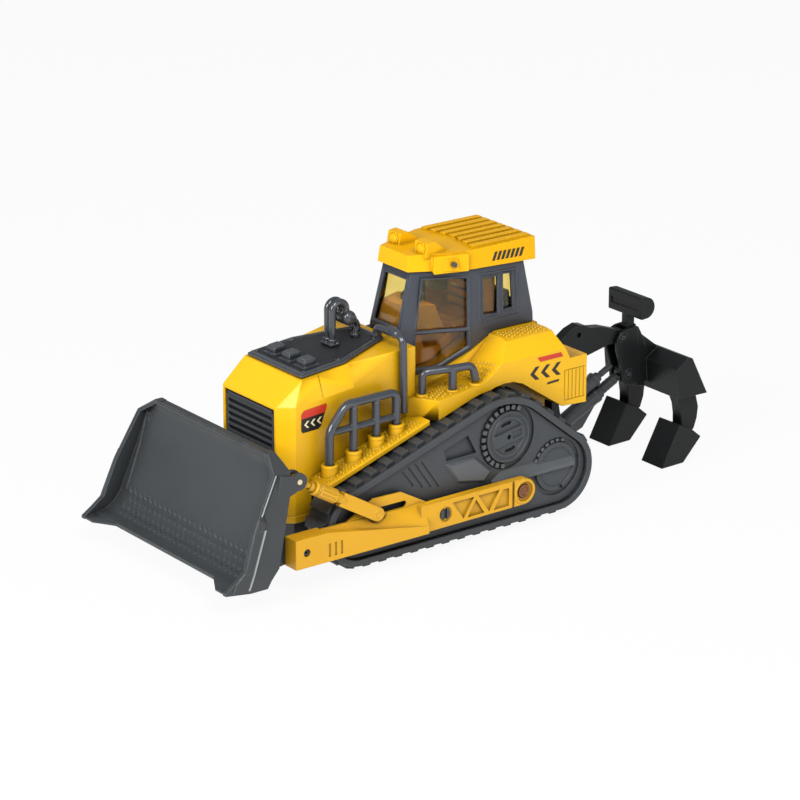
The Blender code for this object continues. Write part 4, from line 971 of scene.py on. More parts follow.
# %% Chassis tub
DOOR_CORNERS = rectangle(-22, -15, 26, 15)
WELLS = [(x, y) for x in (-48, 44) for y in (-19, 19)]


def build_tub():
    floor = span("chassis_tub")[0].z
    tools = [rim_of(DOOR_CORNERS, 0.7, floor - 1, floor + 0.6, lambda p, q, h: (p, q, h), 0),
             brick(20, 24, -4, 4, floor - 1, floor + 0.9, 0)]
    tools += [peg((x, y, floor - 1), (x, y, floor + 1.1), 2.6, 0.0) for x, y in WELLS]
    ribs = [brick(x - 0.6, x + 0.6, -22, 22, floor + 0.05, floor + 3.0, 0.2) for x in (-36, 34)]
    screws = [screw_head((x, y, floor + 1.15), (0, 0, -1)) for x, y in WELLS + [(-18, 0)]]
    recast("chassis_tub", "chassis", "chassis_black", 0.6, tools, ribs)
    keep_piece(merge(bmesh.new(), *screws), "chassis_screws", "pin_steel")


build_tub()
print("chassis:", made["chassis"], "faces")


# %% Wheels, axles and the hidden gears
def from_middle(low, high):
    """The two ends of a node across the toy, the one nearer the middle first."""
    return (low.y, high.y) if low.y + high.y >= 0 else (high.y, low.y)


def build_wheel(node):
    low, high = span(node)
    x, z, r = (low.x + high.x) / 2, (low.z + high.z) / 2, (high.z - low.z) / 2
    half = (high.y - low.y) / 2
    tread = [(1.8, 0.6), (4.0, 0.0), (r - 1.6, 0.0), (r - 0.8, 0.25), (r, 1.0)]
    for groove in (-0.5, 0.0, 0.5):
        h = half + groove * half
        tread += [(r, h - 0.55), (r - 0.7, h - 0.35), (r - 0.7, h + 0.35), (r, h + 0.55)]
    tread += [(r, 2 * half - 1.0), (r - 0.8, 2 * half - 0.25), (r - 1.6, 2 * half),
              (r - 3.6, 2 * half), (r - 4.2, 2 * half - 0.7), (4.6, 2 * half - 0.7),
              (4.0, 2 * half), (1.8, 2 * half - 0.4)]
    inner, outer = from_middle(low, high)
    keep_piece(turned(tread, (x, inner, z), (x, outer, z), 40), node.replace("wheel", "tyre"),
               "wheel_rubber", node)


def repin(node, name, finish, chamfer, bore=None):
    """A pin along y, turned from the CAD pin's own place and size."""
    low, high = span(node)
    x, z, r = (low.x + high.x) / 2, (low.z + high.z) / 2, (high.x - low.x) / 2
    ends = [(x, y, z) for y in from_middle(low, high)]
    form = tapped(*ends, r, bore, 2.2, chamfer, 32) if bore else peg(*ends, r, chamfer, 32)
    keep_piece(form, name, finish, node)


for end in ("front", "rear"):
    for word in WORD.values():
        build_wheel(f"wheel_{end}_{word}")
    repin(f"axle_{end}", f"axle_rod_{end}", "pin_steel", 0.4)
recast("gearbox", "gearbox_case", "gear_nylon", 0.4)
recast("drive_gear", "drive_gear_spur", "gear_nylon", 0.15)
recast("flywheel", "flywheel_mass", "pin_steel", 0.2)
print("running gear:", [name for name in made if "tyre" in name])


# %% [markdown]
# ## Tracks
#
# The crawler track is one fixed moulding a side: a ring of lugs, a smooth rim
# band beside it and a cover that fills the ring. Belt and inner plate are the
# CAD solids with softer edges. The band is swept round the same three arcs
# that the belt follows, so the two run side by side.

# %% Track rings
ROUTE = (((74.2, 6.4), 23.4, -90.0, 71.77, 30), ((-28.9, 19.2), 43.5, 71.77, 128.72, 18),
         ((-72.5, 8.0), 25.0, 128.72, 270.0, 28))


def route(offset):
    """The track's course, moved outward."""
    return [p for (cx, cz), r, a0, a1, n in ROUTE for p in arc(cx, cz, r + offset, a0, a1, n)]


for word in WORD.values():
    recast(f"track_belt_{word}", f"track_lugs_{word}", "track_slate", 0.62, edge_angle=20.0)
    recast(f"track_frame_{word}", f"track_inner_{word}", "track_slate", 0.4)


def build_rim(side):
    word = WORD[side]
    low, high = span(f"track_rim_{word}")
    ring = rim_of(route(-4.0), 4.0, *from_middle(low, high), lambda p, q, h: (p, h, q), 0.5)
    keep_piece(ring, f"track_band_{word}", "track_slate", f"track_rim_{word}")


mirrored(build_rim)
print("course of", len(route(0)), "points")


# %% [markdown]
# ## Track covers
#
# The cover imitates what a real crawler hides there: a drive sprocket, a return
# gear, the roller rail and a motor box, all in shallow relief, with four slots
# for air. Wells are cut first, and the turned and thickened forms are then
# sunk a little into the cover so that no gap shows.

# %% Forms of the track cover
SPROCKET, RETURN_GEAR = (-33.7, 37.8), (-71.0, 10.5)
COVER_FACE = 59.3
TEETH_ROUND = 26
HUB_LEAN = math.radians(-10)
COOLING_SLOTS = (((42.7, 33.0), (34.5, 22.2)), ((38.4, 34.8), (27.8, 19.9)),
                 ((33.6, 35.9), (21.7, 18.6)), ((28.8, 36.0), (16.0, 17.6)))
HUB_FORM = ((-11.6, -2.6), (-10.2, -4.0), (10.2, -4.0), (11.6, -2.6), (11.6, 2.6), (10.2, 4.0),
            (-10.2, 4.0), (-11.6, 2.6))
ROLLER_RAIL = ((-21, 12.4, -0.4), (-27, 8.6, -0.4), (-85, 8.4, -0.4), (-85, 15.6, -0.4),
               (-80, 17.2, -0.4), (-29, 17.6, -0.4), (-25, 9.2, 2.5), (-84, 9.2, 2.5),
               (-84.2, 11.6, 2.5), (-31.5, 11.8, 2.5))
MOTOR_BOX = ((12.8, 30.4, -0.4), (8.0, 31.0, -0.4), (-10.0, 31.0, -0.4), (-23.0, 19.4, -0.4),
             (-16.0, 12.8, -0.4), (4.0, 16.4, -0.4), (9.6, 29.0, 2.0), (-8.6, 29.4, 2.0),
             (-19.6, 19.4, 2.2), (-15.2, 15.0, 2.2), (2.8, 18.6, 2.0))


def disc(side, centre, profile, base, steps=56):
    """A turned form that faces outward, from a distance to the middle."""
    x, z = centre
    return turned(profile, (x, side * base, z), (x, side * (base + 5), z), steps)


def hole(side, centre, r, depth, steps=56):
    """A round tool sunk into the cover's face."""
    return disc(side, centre, [(r, 0), (r, 6)], COVER_FACE - depth, steps)


def tooth_ring(side, centre, r0, r1, first, last, lo, hi):
    """Blocks standing in part of a ring."""
    pitch = 360.0 / TEETH_ROUND
    out = []
    for k in range(int((last - first) / pitch) + 1):
        a = first + k * pitch
        loop = arc(*centre, r1, a - pitch * 0.27, a + pitch * 0.27, 2)
        loop += arc(*centre, r0, a + pitch * 0.31, a - pitch * 0.31, 2)
        out.append(wall(side, loop, lo, hi, 0.25))
    return out


def on_hub(points):
    """Points of the hub bar, which leans across the sprocket."""
    (cx, cz), ux, uz = SPROCKET, math.cos(HUB_LEAN), math.sin(HUB_LEAN)
    return [(cx + a * ux - b * uz, cz + a * uz + b * ux) for a, b in points]


print("a full ring would have", TEETH_ROUND, "teeth")


# %% Track cover
def build_cover(side):
    word = WORD[side]
    face = COVER_FACE
    well = [hole(side, SPROCKET, 20.3, 1.3), hole(side, RETURN_GEAR, 18.0, 1.0),
            hole(side, (-73, -3), 1.5, 2.5, 20),
            wall(side, [(-88.6, 8.6), (-86.4, 8.6), (-86.4, 15.0), (-88.6, 14.2)], face - 1.5, face + 3)]
    for (x0, z0), (x1, z1) in COOLING_SLOTS:
        loop = [(x0, z0), (x0 + 1.3, z0 - 0.5), (x1 + 1.3, z1 - 0.5), (x1, z1)]
        well.append(wall(side, loop, face - 0.7, face + 3))
    well.append(wall(side, [(13.2, 39.0), (-4.8, 44.6), (-11.0, 32.6), (11.0, 32.0)],
                     face - 2.4, face + 3))
    cover = soften(carve(wall(side, route(-4.3), face - 4.0, face), *well), 0.3)
    wheel = disc(side, SPROCKET, [(15.9, 0), (15.9, 2.9), (15.5, 3.3), (14.3, 3.3), (13.9, 2.7),
                                  (12.9, 2.7), (12.5, 3.2), (11.0, 3.2), (10.6, 2.5), (0, 2.5)],
                 face - 1.4)
    windows = [wall(side, arc(*SPROCKET, 9.6, turn - 26, turn + 26, 8)
                    + arc(*SPROCKET, 7.4, turn + 24, turn - 24, 8), face - 0.6, face + 4)
               for turn in (260, 80)]
    wheel = carve(wheel, *windows, hole(side, SPROCKET, 1.5, 0.8, 20))
    hub_bar = soften(carve(wall(side, on_hub(HUB_FORM), face + 0.6, face + 2.3),
                           hole(side, SPROCKET, 1.5, 0.8, 20),
                           wall(side, on_hub(rectangle(-9.6, -2.2, -2.6, 2.2)), face + 1.5, face + 4)), 0.25)
    gear = disc(side, RETURN_GEAR, [(15.3, 0), (15.3, 1.6), (14.9, 2.0), (12.6, 2.0), (12.2, 1.5),
                                    (11.4, 1.5), (11.0, 1.9), (0, 1.9)], face - 1.1)
    gear = carve(gear, hole(side, (-74.5, -3.0), 1.5, 0.6, 20))
    relief = [hull([(x, side * (face + h), z) for x, z, h in form], 0.35)
              for form in (ROLLER_RAIL, MOTOR_BOX)]
    relief += tooth_ring(side, SPROCKET, 16.7, 19.5, -78, 118, face - 1.4, face + 1.5)
    relief += tooth_ring(side, RETURN_GEAR, 15.9, 17.6, -4, 112, face - 1.1, face + 0.9)
    # The relief is in the paler grey of a painted highlight.
    keep_piece(merge(bmesh.new(), *relief), f"track_relief_{word}", "track_worn")
    keep_piece(merge(cover, wheel, gear, hub_bar), f"track_side_{word}", "track_slate",
               f"track_cover_{word}")


mirrored(build_cover)
print("track covers:", made["track_side_left"], "faces each")


# %% [markdown]
# ## Body and front decks
#
# The yellow body is one large moulding over the tracks. On the real toy its
# walkways are covered with small studs so that they read as anti-slip plate,
# the rear corners carry a grooved panel, and the mould leaves a soft round on
# every edge. The studs are real bumps, rows of low six-sided cones. Where the
# toy shows a printed number there is only a plain chevron label.

# %% Body
RAIL_FEET = ((11.5, 36.5), (-5.0, 44.0), (-19.8, 47.0))
STUDDED = (((18, 33), (14, 47.5), (-14, 48.5), (-14, 31)),
           ((-20, 31), (-20, 49), (-36, 48.5), (-33, 31)),
           ((-47, 30.5), (-47, 42), (-77, 42), (-77, 30.5)))


def near_rail(p, q):
    return any(math.hypot(p - x, abs(q) - y) < 4.4 for x, y in RAIL_FEET)


def build_body():
    grooves = [rectangle(-84.4 - k * 2.9, 47.2, -83.6 - k * 2.9, 65.4) for k in range(6)]
    grooves += [rectangle(-99.4, z, -83.6, z + 0.5) for z in (46.8, 65.6)]
    tools = [wall(side, loop, 50.6, 53) for side in (LEFT, RIGHT) for loop in grooves]
    bumps = [studs([(x, side * y) for x, y in area], on_top("body_shell"), near_rail)
             for side in (LEFT, RIGHT) for area in STUDDED]
    recast("body_shell", "body", "bodywork_yellow", 0.6, tools, bumps)


build_body()


def build_collars():
    """Rings that the hand rails stand in."""
    bm = bmesh.new()
    for side in (LEFT, RIGHT):
        for x, y in RAIL_FEET[:2] + ((-19.8, 46.6),):
            z = on_top("body_shell")(x + 3.2, side * y, 0)[2]
            merge(bm, upright([(4.1, -1.2), (4.1, 0.8), (3.6, 1.3), (2.6, 1.3), (2.6, -1.2)],
                              x, side * y, z, 28))
    keep_piece(bm, "rail_collars", "bodywork_yellow")


build_collars()
print("body:", made["body"], "faces; collars:", made["rail_collars"])


# %% Front decks
POST_FEET = ((82.1, 40.1), (65.1, 45.2), (48.9, 50.6), (34.5, 54.8))
POST_Y = 42.0


def build_deck(side):
    word = WORD[side]
    area = [(88.5, side * 35.2), (88.5, side * 49.8), (20.5, side * 49.8), (24.0, side * 35.2)]
    bumps = studs(area, lambda x, y, h: (x, y, 32.1 + 0.33 * (90.0 - x) + h),
                  lambda p, q: any(math.hypot(p - x, abs(q) - POST_Y) < 5.6 for x, _ in POST_FEET))
    rings = [upright([(4.9, -0.8), (4.9, 0.5), (4.4, 1.0), (3.1, 1.0), (2.7, 0.4), (2.7, -0.8)],
                     x, side * POST_Y, z, 32) for x, z in POST_FEET]
    recast(f"front_deck_{word}", f"walkway_{word}", "bodywork_yellow", 0.45, (), [bumps] + rings)


mirrored(build_deck)
print("walkway studs:", made["walkway_left"], "faces a side")


# %% [markdown]
# ## Side labels
#
# Labels are printed film on the moulding. Each one here is a thin closed sheet
# whose corners are dropped onto the body's slope, so it lies flat on it and
# stands proud by little more than a tenth of a millimetre.

# %% Side labels
LABEL, OVER_LABEL = (-0.2, 0.12), (-0.1, 0.2)


def chevron(x, z, size, thick):
    """A plain arrow-head outline that points forward."""
    back = x - size - thick
    return [(x, z), (x - size, z + size), (back, z + size), (x - thick, z),
            (back, z - size), (x - size, z - size)]


def build_side_labels(side):
    lift = on_side("body_shell", side)
    loops = [chevron(-57.5 - k * 8.2, 68.6 - k * 0.2, 4.0, 3.0) for k in range(3)]
    loops.append([(-70.4, 59.9), (-70.8, 61.2), (-79.7, 61.5), (-79.3, 60.2)])
    marks = [patch(loop, *LABEL, lift) for loop in loops]
    keep_piece(merge(bmesh.new(), *marks), f"side_chevrons_{WORD[side]}", "label_black")
    band = [(-65.2, 75.2), (-62.9, 78.0), (-80.9, 78.0), (-82.5, 75.2)]
    keep_piece(patch(band, *LABEL, lift), f"side_band_{WORD[side]}", "label_red")


mirrored(build_side_labels)
print("side chevrons:", made["side_chevrons_left"], "faces a side")


# %% [markdown]
# ## Hood and grille
#
# The hood is a facetted box that narrows to the nose. Besides its rounded
# edges it has a seam across each shoulder, where the real tool closes, a
# rolled lip round the bottom of the nose, and a label on each cheek. The
# grille is a row of louvres, thick at the front edge and thin at the back, in
# a frame of its own.

# %% Hood
LIP_PLAN = ((88.6, 32.6), (88.6, 34.3), (100.9, 34.3), (109.4, 27.2), (109.4, 25.2),
            (107.6, 25.2), (99.8, 32.2))


def build_hood():
    tools, lip = [], []
    a, b = Vector((33.5, 78.4)), Vector((27.6, 93.2))
    out = Vector(((b - a).y, -(b - a).x)).normalized()
    seam = [a - out * 0.7, a + out * 2, b + out * 2, b - out * 0.7]
    for side in (LEFT, RIGHT):
        tools.append(slab([(side * p.x, p.y) for p in seam], 79.4, 80.1, 0, "x"))
        lip.append(slab([(x, side * y) for x, y in LIP_PLAN], 6.5, 10.8, 0.55, "z"))
    recast("hood_shell", "hood", "bodywork_yellow", 0.9, tools, lip)


def build_cheek_label(side):
    word = WORD[side]
    lift = on_side("hood_shell", side)
    top = [(95.4, 71.3), (93.6, 73.4), (78.2, 74.8), (77.6, 73.6)]
    outline = top + [(81.8, 62.0), (83.6, 60.6), (94.6, 60.2), (95.6, 61.6)]
    keep_piece(patch(outline, *LABEL, lift), f"cheek_label_{word}", "label_black")
    keep_piece(patch(top + [(79.0, 69.7), (95.45, 68.5)], *OVER_LABEL, lift),
               f"cheek_band_{word}", "label_red")
    heads = [patch(chevron(93.6 - k * 4.4, 64.8 + k * 0.35, 2.1, 1.5), *OVER_LABEL, lift)
             for k in range(3)]
    keep_piece(merge(bmesh.new(), *heads), f"cheek_chevrons_{word}", "label_cream")


build_hood()
mirrored(build_cheek_label)
print("hood:", made["hood"], "faces")


# %% Grille
LOUVRES = 13


def build_grille():
    low, high = span("grille")
    back, face = low.x, high.x
    foot, top, reach = low.z + 1.6, high.z - 3.0, high.y - 2.6
    wide = high.y - 0.7
    pitch = (top - foot) / LOUVRES
    bm = bmesh.new()
    for k in range(LOUVRES):
        louvre = [(x, foot + (k + share) * pitch) for x, share in
                  ((back + 1.0, 0.42), (face - 0.5, 0.50), (face - 0.15, 0.62),
                   (face - 0.15, 0.84), (face - 0.6, 0.98), (back + 1.0, 0.98))]
        merge(bm, slab(louvre, -reach - 0.4, reach + 0.4, 0.15))
    for side in (LEFT, RIGHT):
        merge(bm, brick(back, face, side * reach, side * wide, low.z + 0.6, high.z - 0.7, 0.5))
    merge(bm, brick(back, face, -wide, wide, top, high.z - 0.7, 0.5),
          brick(back, face, -wide, wide, low.z + 0.6, foot, 0.4))
    # A black screen behind the louvres: painted shade that darkens the gaps between them.
    shade_screen = brick(back, back + 1.3, low.y, high.y, low.z, high.z, 0.3)
    keep_piece(shade_screen, "grille_screen", "chassis_black")
    keep_piece(bm, "grille_louvres", "track_slate", "grille")


build_grille()
print("louvres:", LOUVRES)


# %% [markdown]
# ## Engine cover and exhaust
#
# The cover on top of the hood is glossy black with a raised rim, a matt floor
# inside it, three square filler caps in a row and screws along the edges. The
# exhaust is a pair of glossy pipes bent over together, with a silencer drum
# between their rear ends and a thin tail pipe. Pipes are swept along eased
# paths, so the bends stay round from every side.

# %% Engine cover
COVER_PLAN = [(90.5, -27.0), (90.5, 27.0), (60.0, 26.7), (22.0, 13.4), (22.0, -13.4), (60.0, -26.7)]


def cover_height(x):
    """The slope of the engine cover's top."""
    return 91.8 + 0.0946 * (90.5 - x)


def on_cover(x, y, h):
    return (x, y, cover_height(x) + h)


def build_engine_cover():
    bm = patch(COVER_PLAN, -1.7, 0.0, on_cover, 0.5)
    merge(bm, rim_of(grown(COVER_PLAN, -2.9), 1.7, -0.3, 0.8, on_cover, 0.3))
    for y in (-15, 0, 15):
        for x0, x1, half, lo, hi, edge in ((74.2, 82.8, 4.3, -0.5, 4.4, 1.1),
                                           (75.4, 81.6, 3.1, 3.6, 4.8, 0.35),
                                           (73.0, 84.0, 5.6, -0.5, 0.7, 0.25)):
            merge(bm, patch(rectangle(x0, y - half, x1, y + half), lo, hi, on_cover, edge))
    for x, y in ((87.0, 24.0), (62.0, 23.4), (27.0, 11.0)):
        for side in (LEFT, RIGHT):
            merge(bm, upright([(1.9, -0.4), (1.9, 0.5), (1.5, 0.8), (0.9, 0.8), (0.7, 0.4), (0, 0.4)],
                              *on_cover(x, side * y, 0.0), 20))
    keep_piece(patch(grown(COVER_PLAN, -4.4), -0.3, 0.22, on_cover), "engine_cover_floor",
               "chassis_black")
    keep_piece(bm, "engine_cover", "gloss_black", "hood_cover")


build_engine_cover()
print("engine cover:", made["engine_cover"], "faces")


# %% Exhaust
HOOP_X, HOOP_Z, HOOP_R = 46.0, 116.2, 4.9


def build_exhaust():
    foot = cover_height(48.5) + 0.3
    stem = HOOP_X + HOOP_R
    bm = bmesh.new()
    for y in (-2.35, 2.35):
        bend = [(x, y, z) for x, z in arc(HOOP_X, HOOP_Z, HOOP_R, 0, 180, 22)]
        merge(bm, bar([(stem, y, foot)] + bend + [(HOOP_X - HOOP_R, y, 112.5)], 2.1, 0, 22, 0.3),
              upright([(2.8, 0), (2.8, 3.2), (2.4, 3.7), (1.9, 3.7)], stem, y, foot - 0.1, 26))
    for side in (LEFT, RIGHT):
        merge(bm, upright([(1.3, 0), (1.3, 0.5), (0.9, 0.9), (0, 0.9)],
                          stem - 2.0, side * 4.2, foot + 1.1, 18))
    drum = [(0, 0), (2.6, 0.1), (3.9, 0.9), (4.4, 2.2)]
    for h in (4.4, 8.4):
        drum += [(4.4, h), (4.0, h + 0.3), (4.0, h + 0.9), (4.4, h + 1.2)]
    drum += [(4.4, 11.8), (3.9, 13.1), (2.6, 13.9), (0, 14)]
    tail = cover_height(32.9) + 0.3
    merge(bm, brick(47.6, 54.2, -5.6, 5.6, foot, foot + 1.2, 0.4),
          turned(drum, (40.5, -7.0, 111.0), (40.5, 7.0, 111.0), 32),
          bar([(38.6, 0, 112.2), (30.5, 0, 104.5), (33, 0, cover_height(31) + 0.6)], 1.7, 5, 18),
          turned([(2.8, 0), (2.8, 1.4), (2.3, 1.9), (1.5, 1.9)],
                 (32.9, 0, tail), (32.6, 0, tail + 2.7), 24))
    keep_piece(bm, "exhaust", "pipe_black", "exhaust_hoop")


build_exhaust()
print("exhaust:", made["exhaust"], "faces")


# %% [markdown]
# ## Cab
#
# The cab is a blue-grey frame over amber glazing, with a brown seat and console
# moulding inside that fills the middle. The frame has a raised border round
# each opening, laid on the sloping sides by reading the CAD surface. The
# glazing sits a hair behind the frame.

# %% Cab frame and glazing
def head(x, band):
    """Height under the roof, less a band."""
    return 134.4 - 0.0437 * (5.6 - x) - band


SILL = 100.2
DOOR = [(1.2, 98.5), (-29.6, 97.2), (-29.6, head(-29.6, 5.9)), (-3.2, head(-3.2, 5.4))]
LOW_DOOR = [(2.6, 75.8), (-11.5, 76.2), (-29.6, 85.6), (-29.6, 94.6), (1.4, 96.0)]
REAR_A = [(-41, 102.5), (-51.5, 102.5), (-51.5, head(-51.5, 7.4)), (-41, head(-41, 7.4))]
REAR_PANEL = [(-38.8, 99.6), (-66.0, 100.6), (-65.0, head(-65, 4.9)), (-38.8, head(-38.8, 4.9))]
REAR_B = [(-56, 103.5), (-62.8, 103.5), (-61.8, head(-61.8, 7.0)), (-56, head(-56, 6.9))]


def cab_plane(side, front=True):
    """Lift onto one of the two flat side walls of the cab."""
    a, b, c = (land("cab_frame", (x, side * 80, z), (0, -side, 0)) for x, z in
               (((2.9, 92.0), (-31.0, 125.0), (-31.0, 92.0)) if front else
                ((-36.0, 98.0), (-68.0, 98.0), (-36.0, 126.0))))
    normal = (b - a).cross(c - a).normalized()
    if normal.y * side < 0:
        normal = -normal

    def lift(x, z, h):
        y = a.y - (normal.x * (x - a.x) + normal.z * (z - a.z)) / normal.y
        return tuple(Vector((x, y, z)) + normal * h)
    return lift


def build_cab_frame():
    rims = []
    for side in (LEFT, RIGHT):
        fore, aft = cab_plane(side), cab_plane(side, False)
        for loop, lift, gap, width in ((DOOR, fore, 0.6, 0.9), (LOW_DOOR, fore, 0.6, 0.9),
                                       (REAR_A, aft, 0.5, 0.7), (REAR_B, aft, 0.5, 0.7),
                                       (REAR_PANEL, aft, 0.0, 1.0)):
            rims.append(rim_of(grown(loop, gap), width, -0.5, 0.5, lift))
    top = head(5, 5.9)
    face = on_front("cab_frame")
    low_x, high_x = face(-12.4, SILL, 0)[0], face(-11.2, top + 0.8, 0)[0]
    lean = (high_x - low_x) / (top + 0.8 - SILL)
    pane = [(-11.6, 101), (11.6, 101), (10.4, top), (-10.4, top)]
    rims.append(rim_of(grown(pane, 0.5), 1.0, -0.5, 0.45,
                       lambda y, z, h: (low_x + lean * (z - SILL) + h, y, z)))
    recast("cab_frame", "cab_body", "cab_blue_grey", 0.55, (), rims, 18.0)


build_cab_frame()
recast("cab_glazing", "cab_windows", "amber_glass", 0.2)
recast("cab_interior", "cab_seat", "seat_brown", 0.6)
print("cab frame:", made["cab_body"], "faces")


# %% [markdown]
# ## What is inside the cab
#
# Tinted panes still show what stands behind them. The seat moulding of the CAD
# model is joined by a dashboard that fills the nose of the cab, a steering
# wheel, side linings and a seat with rolls. The dashboard reads the glazing's
# own surface and stays half a millimetre inside it.

# %% Dashboard, steering wheel and seat
def across(outline, y0, y1, edge):
    """A rounded block through an outline of x and z at two places across the cab."""
    return hull([(x, y, z) for y in (y0, y1) for x, z in outline], edge)


def build_dashboard():
    """A block that fills the front of the cab, a little inside the glazing."""
    corners = []
    for z in (97.0, 107.0, 111.5):
        nose = land("cab_glazing", (-12, 0, z), (1, 0, 0)).x - 0.5
        tail = -17.5 if z < 100.0 else -12.5
        for x, rise in ((nose - (z - 97.0) * 0.08, 0.0), (nose - 6.0, 0.6), (tail, 0.6)):
            reach = land("cab_glazing", (x, 0, z), (0, 1, 0)).y - 0.4 - 0.05 * (z - 97.0)
            corners += [(x, side * reach, z + rise) for side in (LEFT, RIGHT)]
    # The dashboard takes the bright amber of painted light.
    keep_piece(hull(corners, 0.9), "dashboard", "console_amber")


def build_steering():
    """The wheel on its column, and a console that hangs from the ceiling."""
    hoop = [(-9.5 - 5.2 * math.sin(t), 8.0 * math.cos(t), 114.2 + 2.0 * math.sin(t))
            for t in (2 * math.pi * k / 32 for k in range(33))]
    wheel = bar(hoop, 0.95, 0, 12, 0.2)
    merge(wheel, bar([(-9.5, -8, 114.2), (-9.5, 8, 114.2)], 0.8, 0, 12, 0.2),
          bar([(-8, 0, 110), (-9.5, 0, 114.2)], 1.3, 0, 14, 0.2),
          turned([(2.0, 0), (2.4, 0.4), (2.0, 1.2), (0, 1.4)], (-9.4, 0, 113.8), (-9.9, 0, 115.2), 20),
          across(((-20, 130.6), (-34, 130.0), (-22, 115.6), (-31, 114.6)), -5, 5, 0.9))
    keep_piece(wheel, "steering_wheel", "gloss_black")


def build_seat():
    """Side linings, four rolls of the seat's back, the seat and a dark shelf behind."""
    panels = bmesh.new()
    for side in (LEFT, RIGHT):
        merge(panels, wall(side, [(-35, 93.5), (-53.5, 93.5), (-53.5, 129.6), (-35, 130.4)],
                           20.2, 21.4, 0.3))
    for z, half in ((100, 15.5), (106, 15.0), (112, 14.5), (118, 13.6)):
        roll = ((-46, z), (-49, z), (-46, z + 4.6), (-49.6, z + 4.6))
        merge(panels, across(roll, -half, half, 0.7))
    merge(panels, across(((-28, 96), (-46, 98), (-28, 91), (-46, 91)), -15.5, 15.5, 0.9))
    keep_piece(panels, "seat_and_lining", "seat_brown")
    shelf = ((-57.5, 99.0), (-57.5, 108.0), (-60.5, 111.5), (-66.0, 112.0), (-68.0, 99.0))
    keep_piece(across(shelf, -19.5, 19.5, 0.8), "rear_shelf", "chassis_black")


build_dashboard()
build_steering()
build_seat()
print("steering wheel:", made["steering_wheel"], "faces")


# %% [markdown]
# ## Roof
#
# The roof is the CAD solid with its ribs, softened. On it sit two work lamps,
# each a domed lens in a ring, a small plug in a raised pad on each side, and a
# row of plain slanted stripes along the edge.

# %% Roof
ROOF_TOP = 144.6
LENS = [(3.6, -1.0), (3.6, 0.3), (3.1, 0.8), (1.6, 1.1), (0, 1.2)]
LENS_RING = [(4.5, -0.8), (4.5, 0.45), (4.1, 0.75), (3.6, 0.45), (3.6, -0.8)]


def build_roof():
    pad = [(-13.0, ROOF_TOP - 10.6), (-23.0, ROOF_TOP - 11.2), (-21.4, ROOF_TOP - 3.4),
           (-14.6, ROOF_TOP - 3.2)]
    pads = [patch(pad, -0.4, 0.5, on_side("cab_roof", side), 0.15) for side in (LEFT, RIGHT)]
    # The roof takes the deeper yellow of painted shade.
    recast("cab_roof", "roof", "roof_yellow", 0.6, (), pads, 20.0)


def build_roof_fittings(side):
    word = WORD[side]
    plug = [(-18.0, side * y, ROOF_TOP - 6.4) for y in (27.0, 29.6)]
    keep_piece(peg(*plug, 1.5, 0.2, 22), f"roof_plug_{word}", "gloss_black")
    ends = (-4.75, side * 13.0, ROOF_TOP + 1.8), (-3.75, side * 13.0, ROOF_TOP + 2.0)
    for name, profile in (("ring", LENS_RING), ("lens", LENS)):
        keep_piece(turned(profile, *ends, 32), f"lamp_{name}_{word}", "roof_yellow")
    stripes = bmesh.new()
    for k in range(7):
        x, z = -46.4 - k * 3.35, ROOF_TOP - 9.4 - k * 0.12
        stripe = [(x, z), (x - 1.9, z), (x - 4.2, z + 5.0), (x - 2.3, z + 5.0)]
        merge(stripes, patch(stripe, *LABEL, on_side("cab_roof", side)))
    keep_piece(stripes, f"roof_stripes_{word}", "label_black")


build_roof()
mirrored(build_roof_fittings)
print("roof:", made["roof"], "faces")


# %% [markdown]
# ## Rails
#
# Guard rails, hand rails and grab rails are bent bars with flattened feet.
# Each bar runs on its own eased path, and the uprights join the top bar with a
# small weld-like collar.

# %% Guard, hand and grab rails
GUARD_TOP, GUARD_MIDDLE, GRAB_X = 74.8, 60.0, 25.5


def build_rails(side):
    word = WORD[side]
    y = side * POST_Y
    feet = [(x, z + 0.3) for x, z in POST_FEET]
    (front, low), (back, high) = feet[0], feet[-1]
    guard = bar([(front, y, low), (front, y, 60.5), (70.6, y, GUARD_TOP), (back, y, GUARD_TOP),
                 (back, y, high)], 2.6)
    for x, z in feet[1:3]:
        merge(guard, peg((x, y, z), (x, y, GUARD_TOP), 2.44, 0.3, 18),
              peg((x, y, 70.8), (x, y, 71.9), 2.6, 0.2, 18))
    merge(guard, peg((front, y, GUARD_MIDDLE), (back, y, GUARD_MIDDLE), 2.24, 0.2, 18))
    keep_piece(guard, f"guard_{word}", "rail_gloss", f"guard_rail_{word}")
    rail = bar([(11.5, side * 36.5, 67.2), (11.5, side * 36.5, 80.3), (-5, side * 44, 81.4),
                (-17.5, side * 46.6, 81.6), (-19.8, side * 47.0, 72.2)], 2.4, 4.0)
    merge(rail, peg((-5, side * 44, 68.6), (-5, side * 44, 81.3), 2.4, 0.3, 18))
    keep_piece(rail, f"hand_{word}", "rail_gloss", f"hand_rail_{word}")
    hold = bar([(GRAB_X, side * 10.5, 99.6), (GRAB_X, side * 12.0, 104.2), (GRAB_X, side * 31, 105.4),
                (GRAB_X, side * 36.6, 103.0), (25.0, side * 36.6, 58.6)], 2.3)
    merge(hold, turned([(2.2, 0), (2.9, 1.0), (3.2, 3.0), (3.2, 7.0), (2.9, 9.0), (2.2, 10.0)],
                       (GRAB_X, side * 22.5, 105.0), (GRAB_X, side * 31, 105.4), 24),
          brick(22.6, 28.4, side * 8.4, side * 12.8, 98.4, 100.4, 0.4))
    keep_piece(hold, f"grab_{word}", "rail_gloss", f"grab_rail_{word}")


mirrored(build_rails)
print("guard rail:", made["guard_left"], "faces a side")


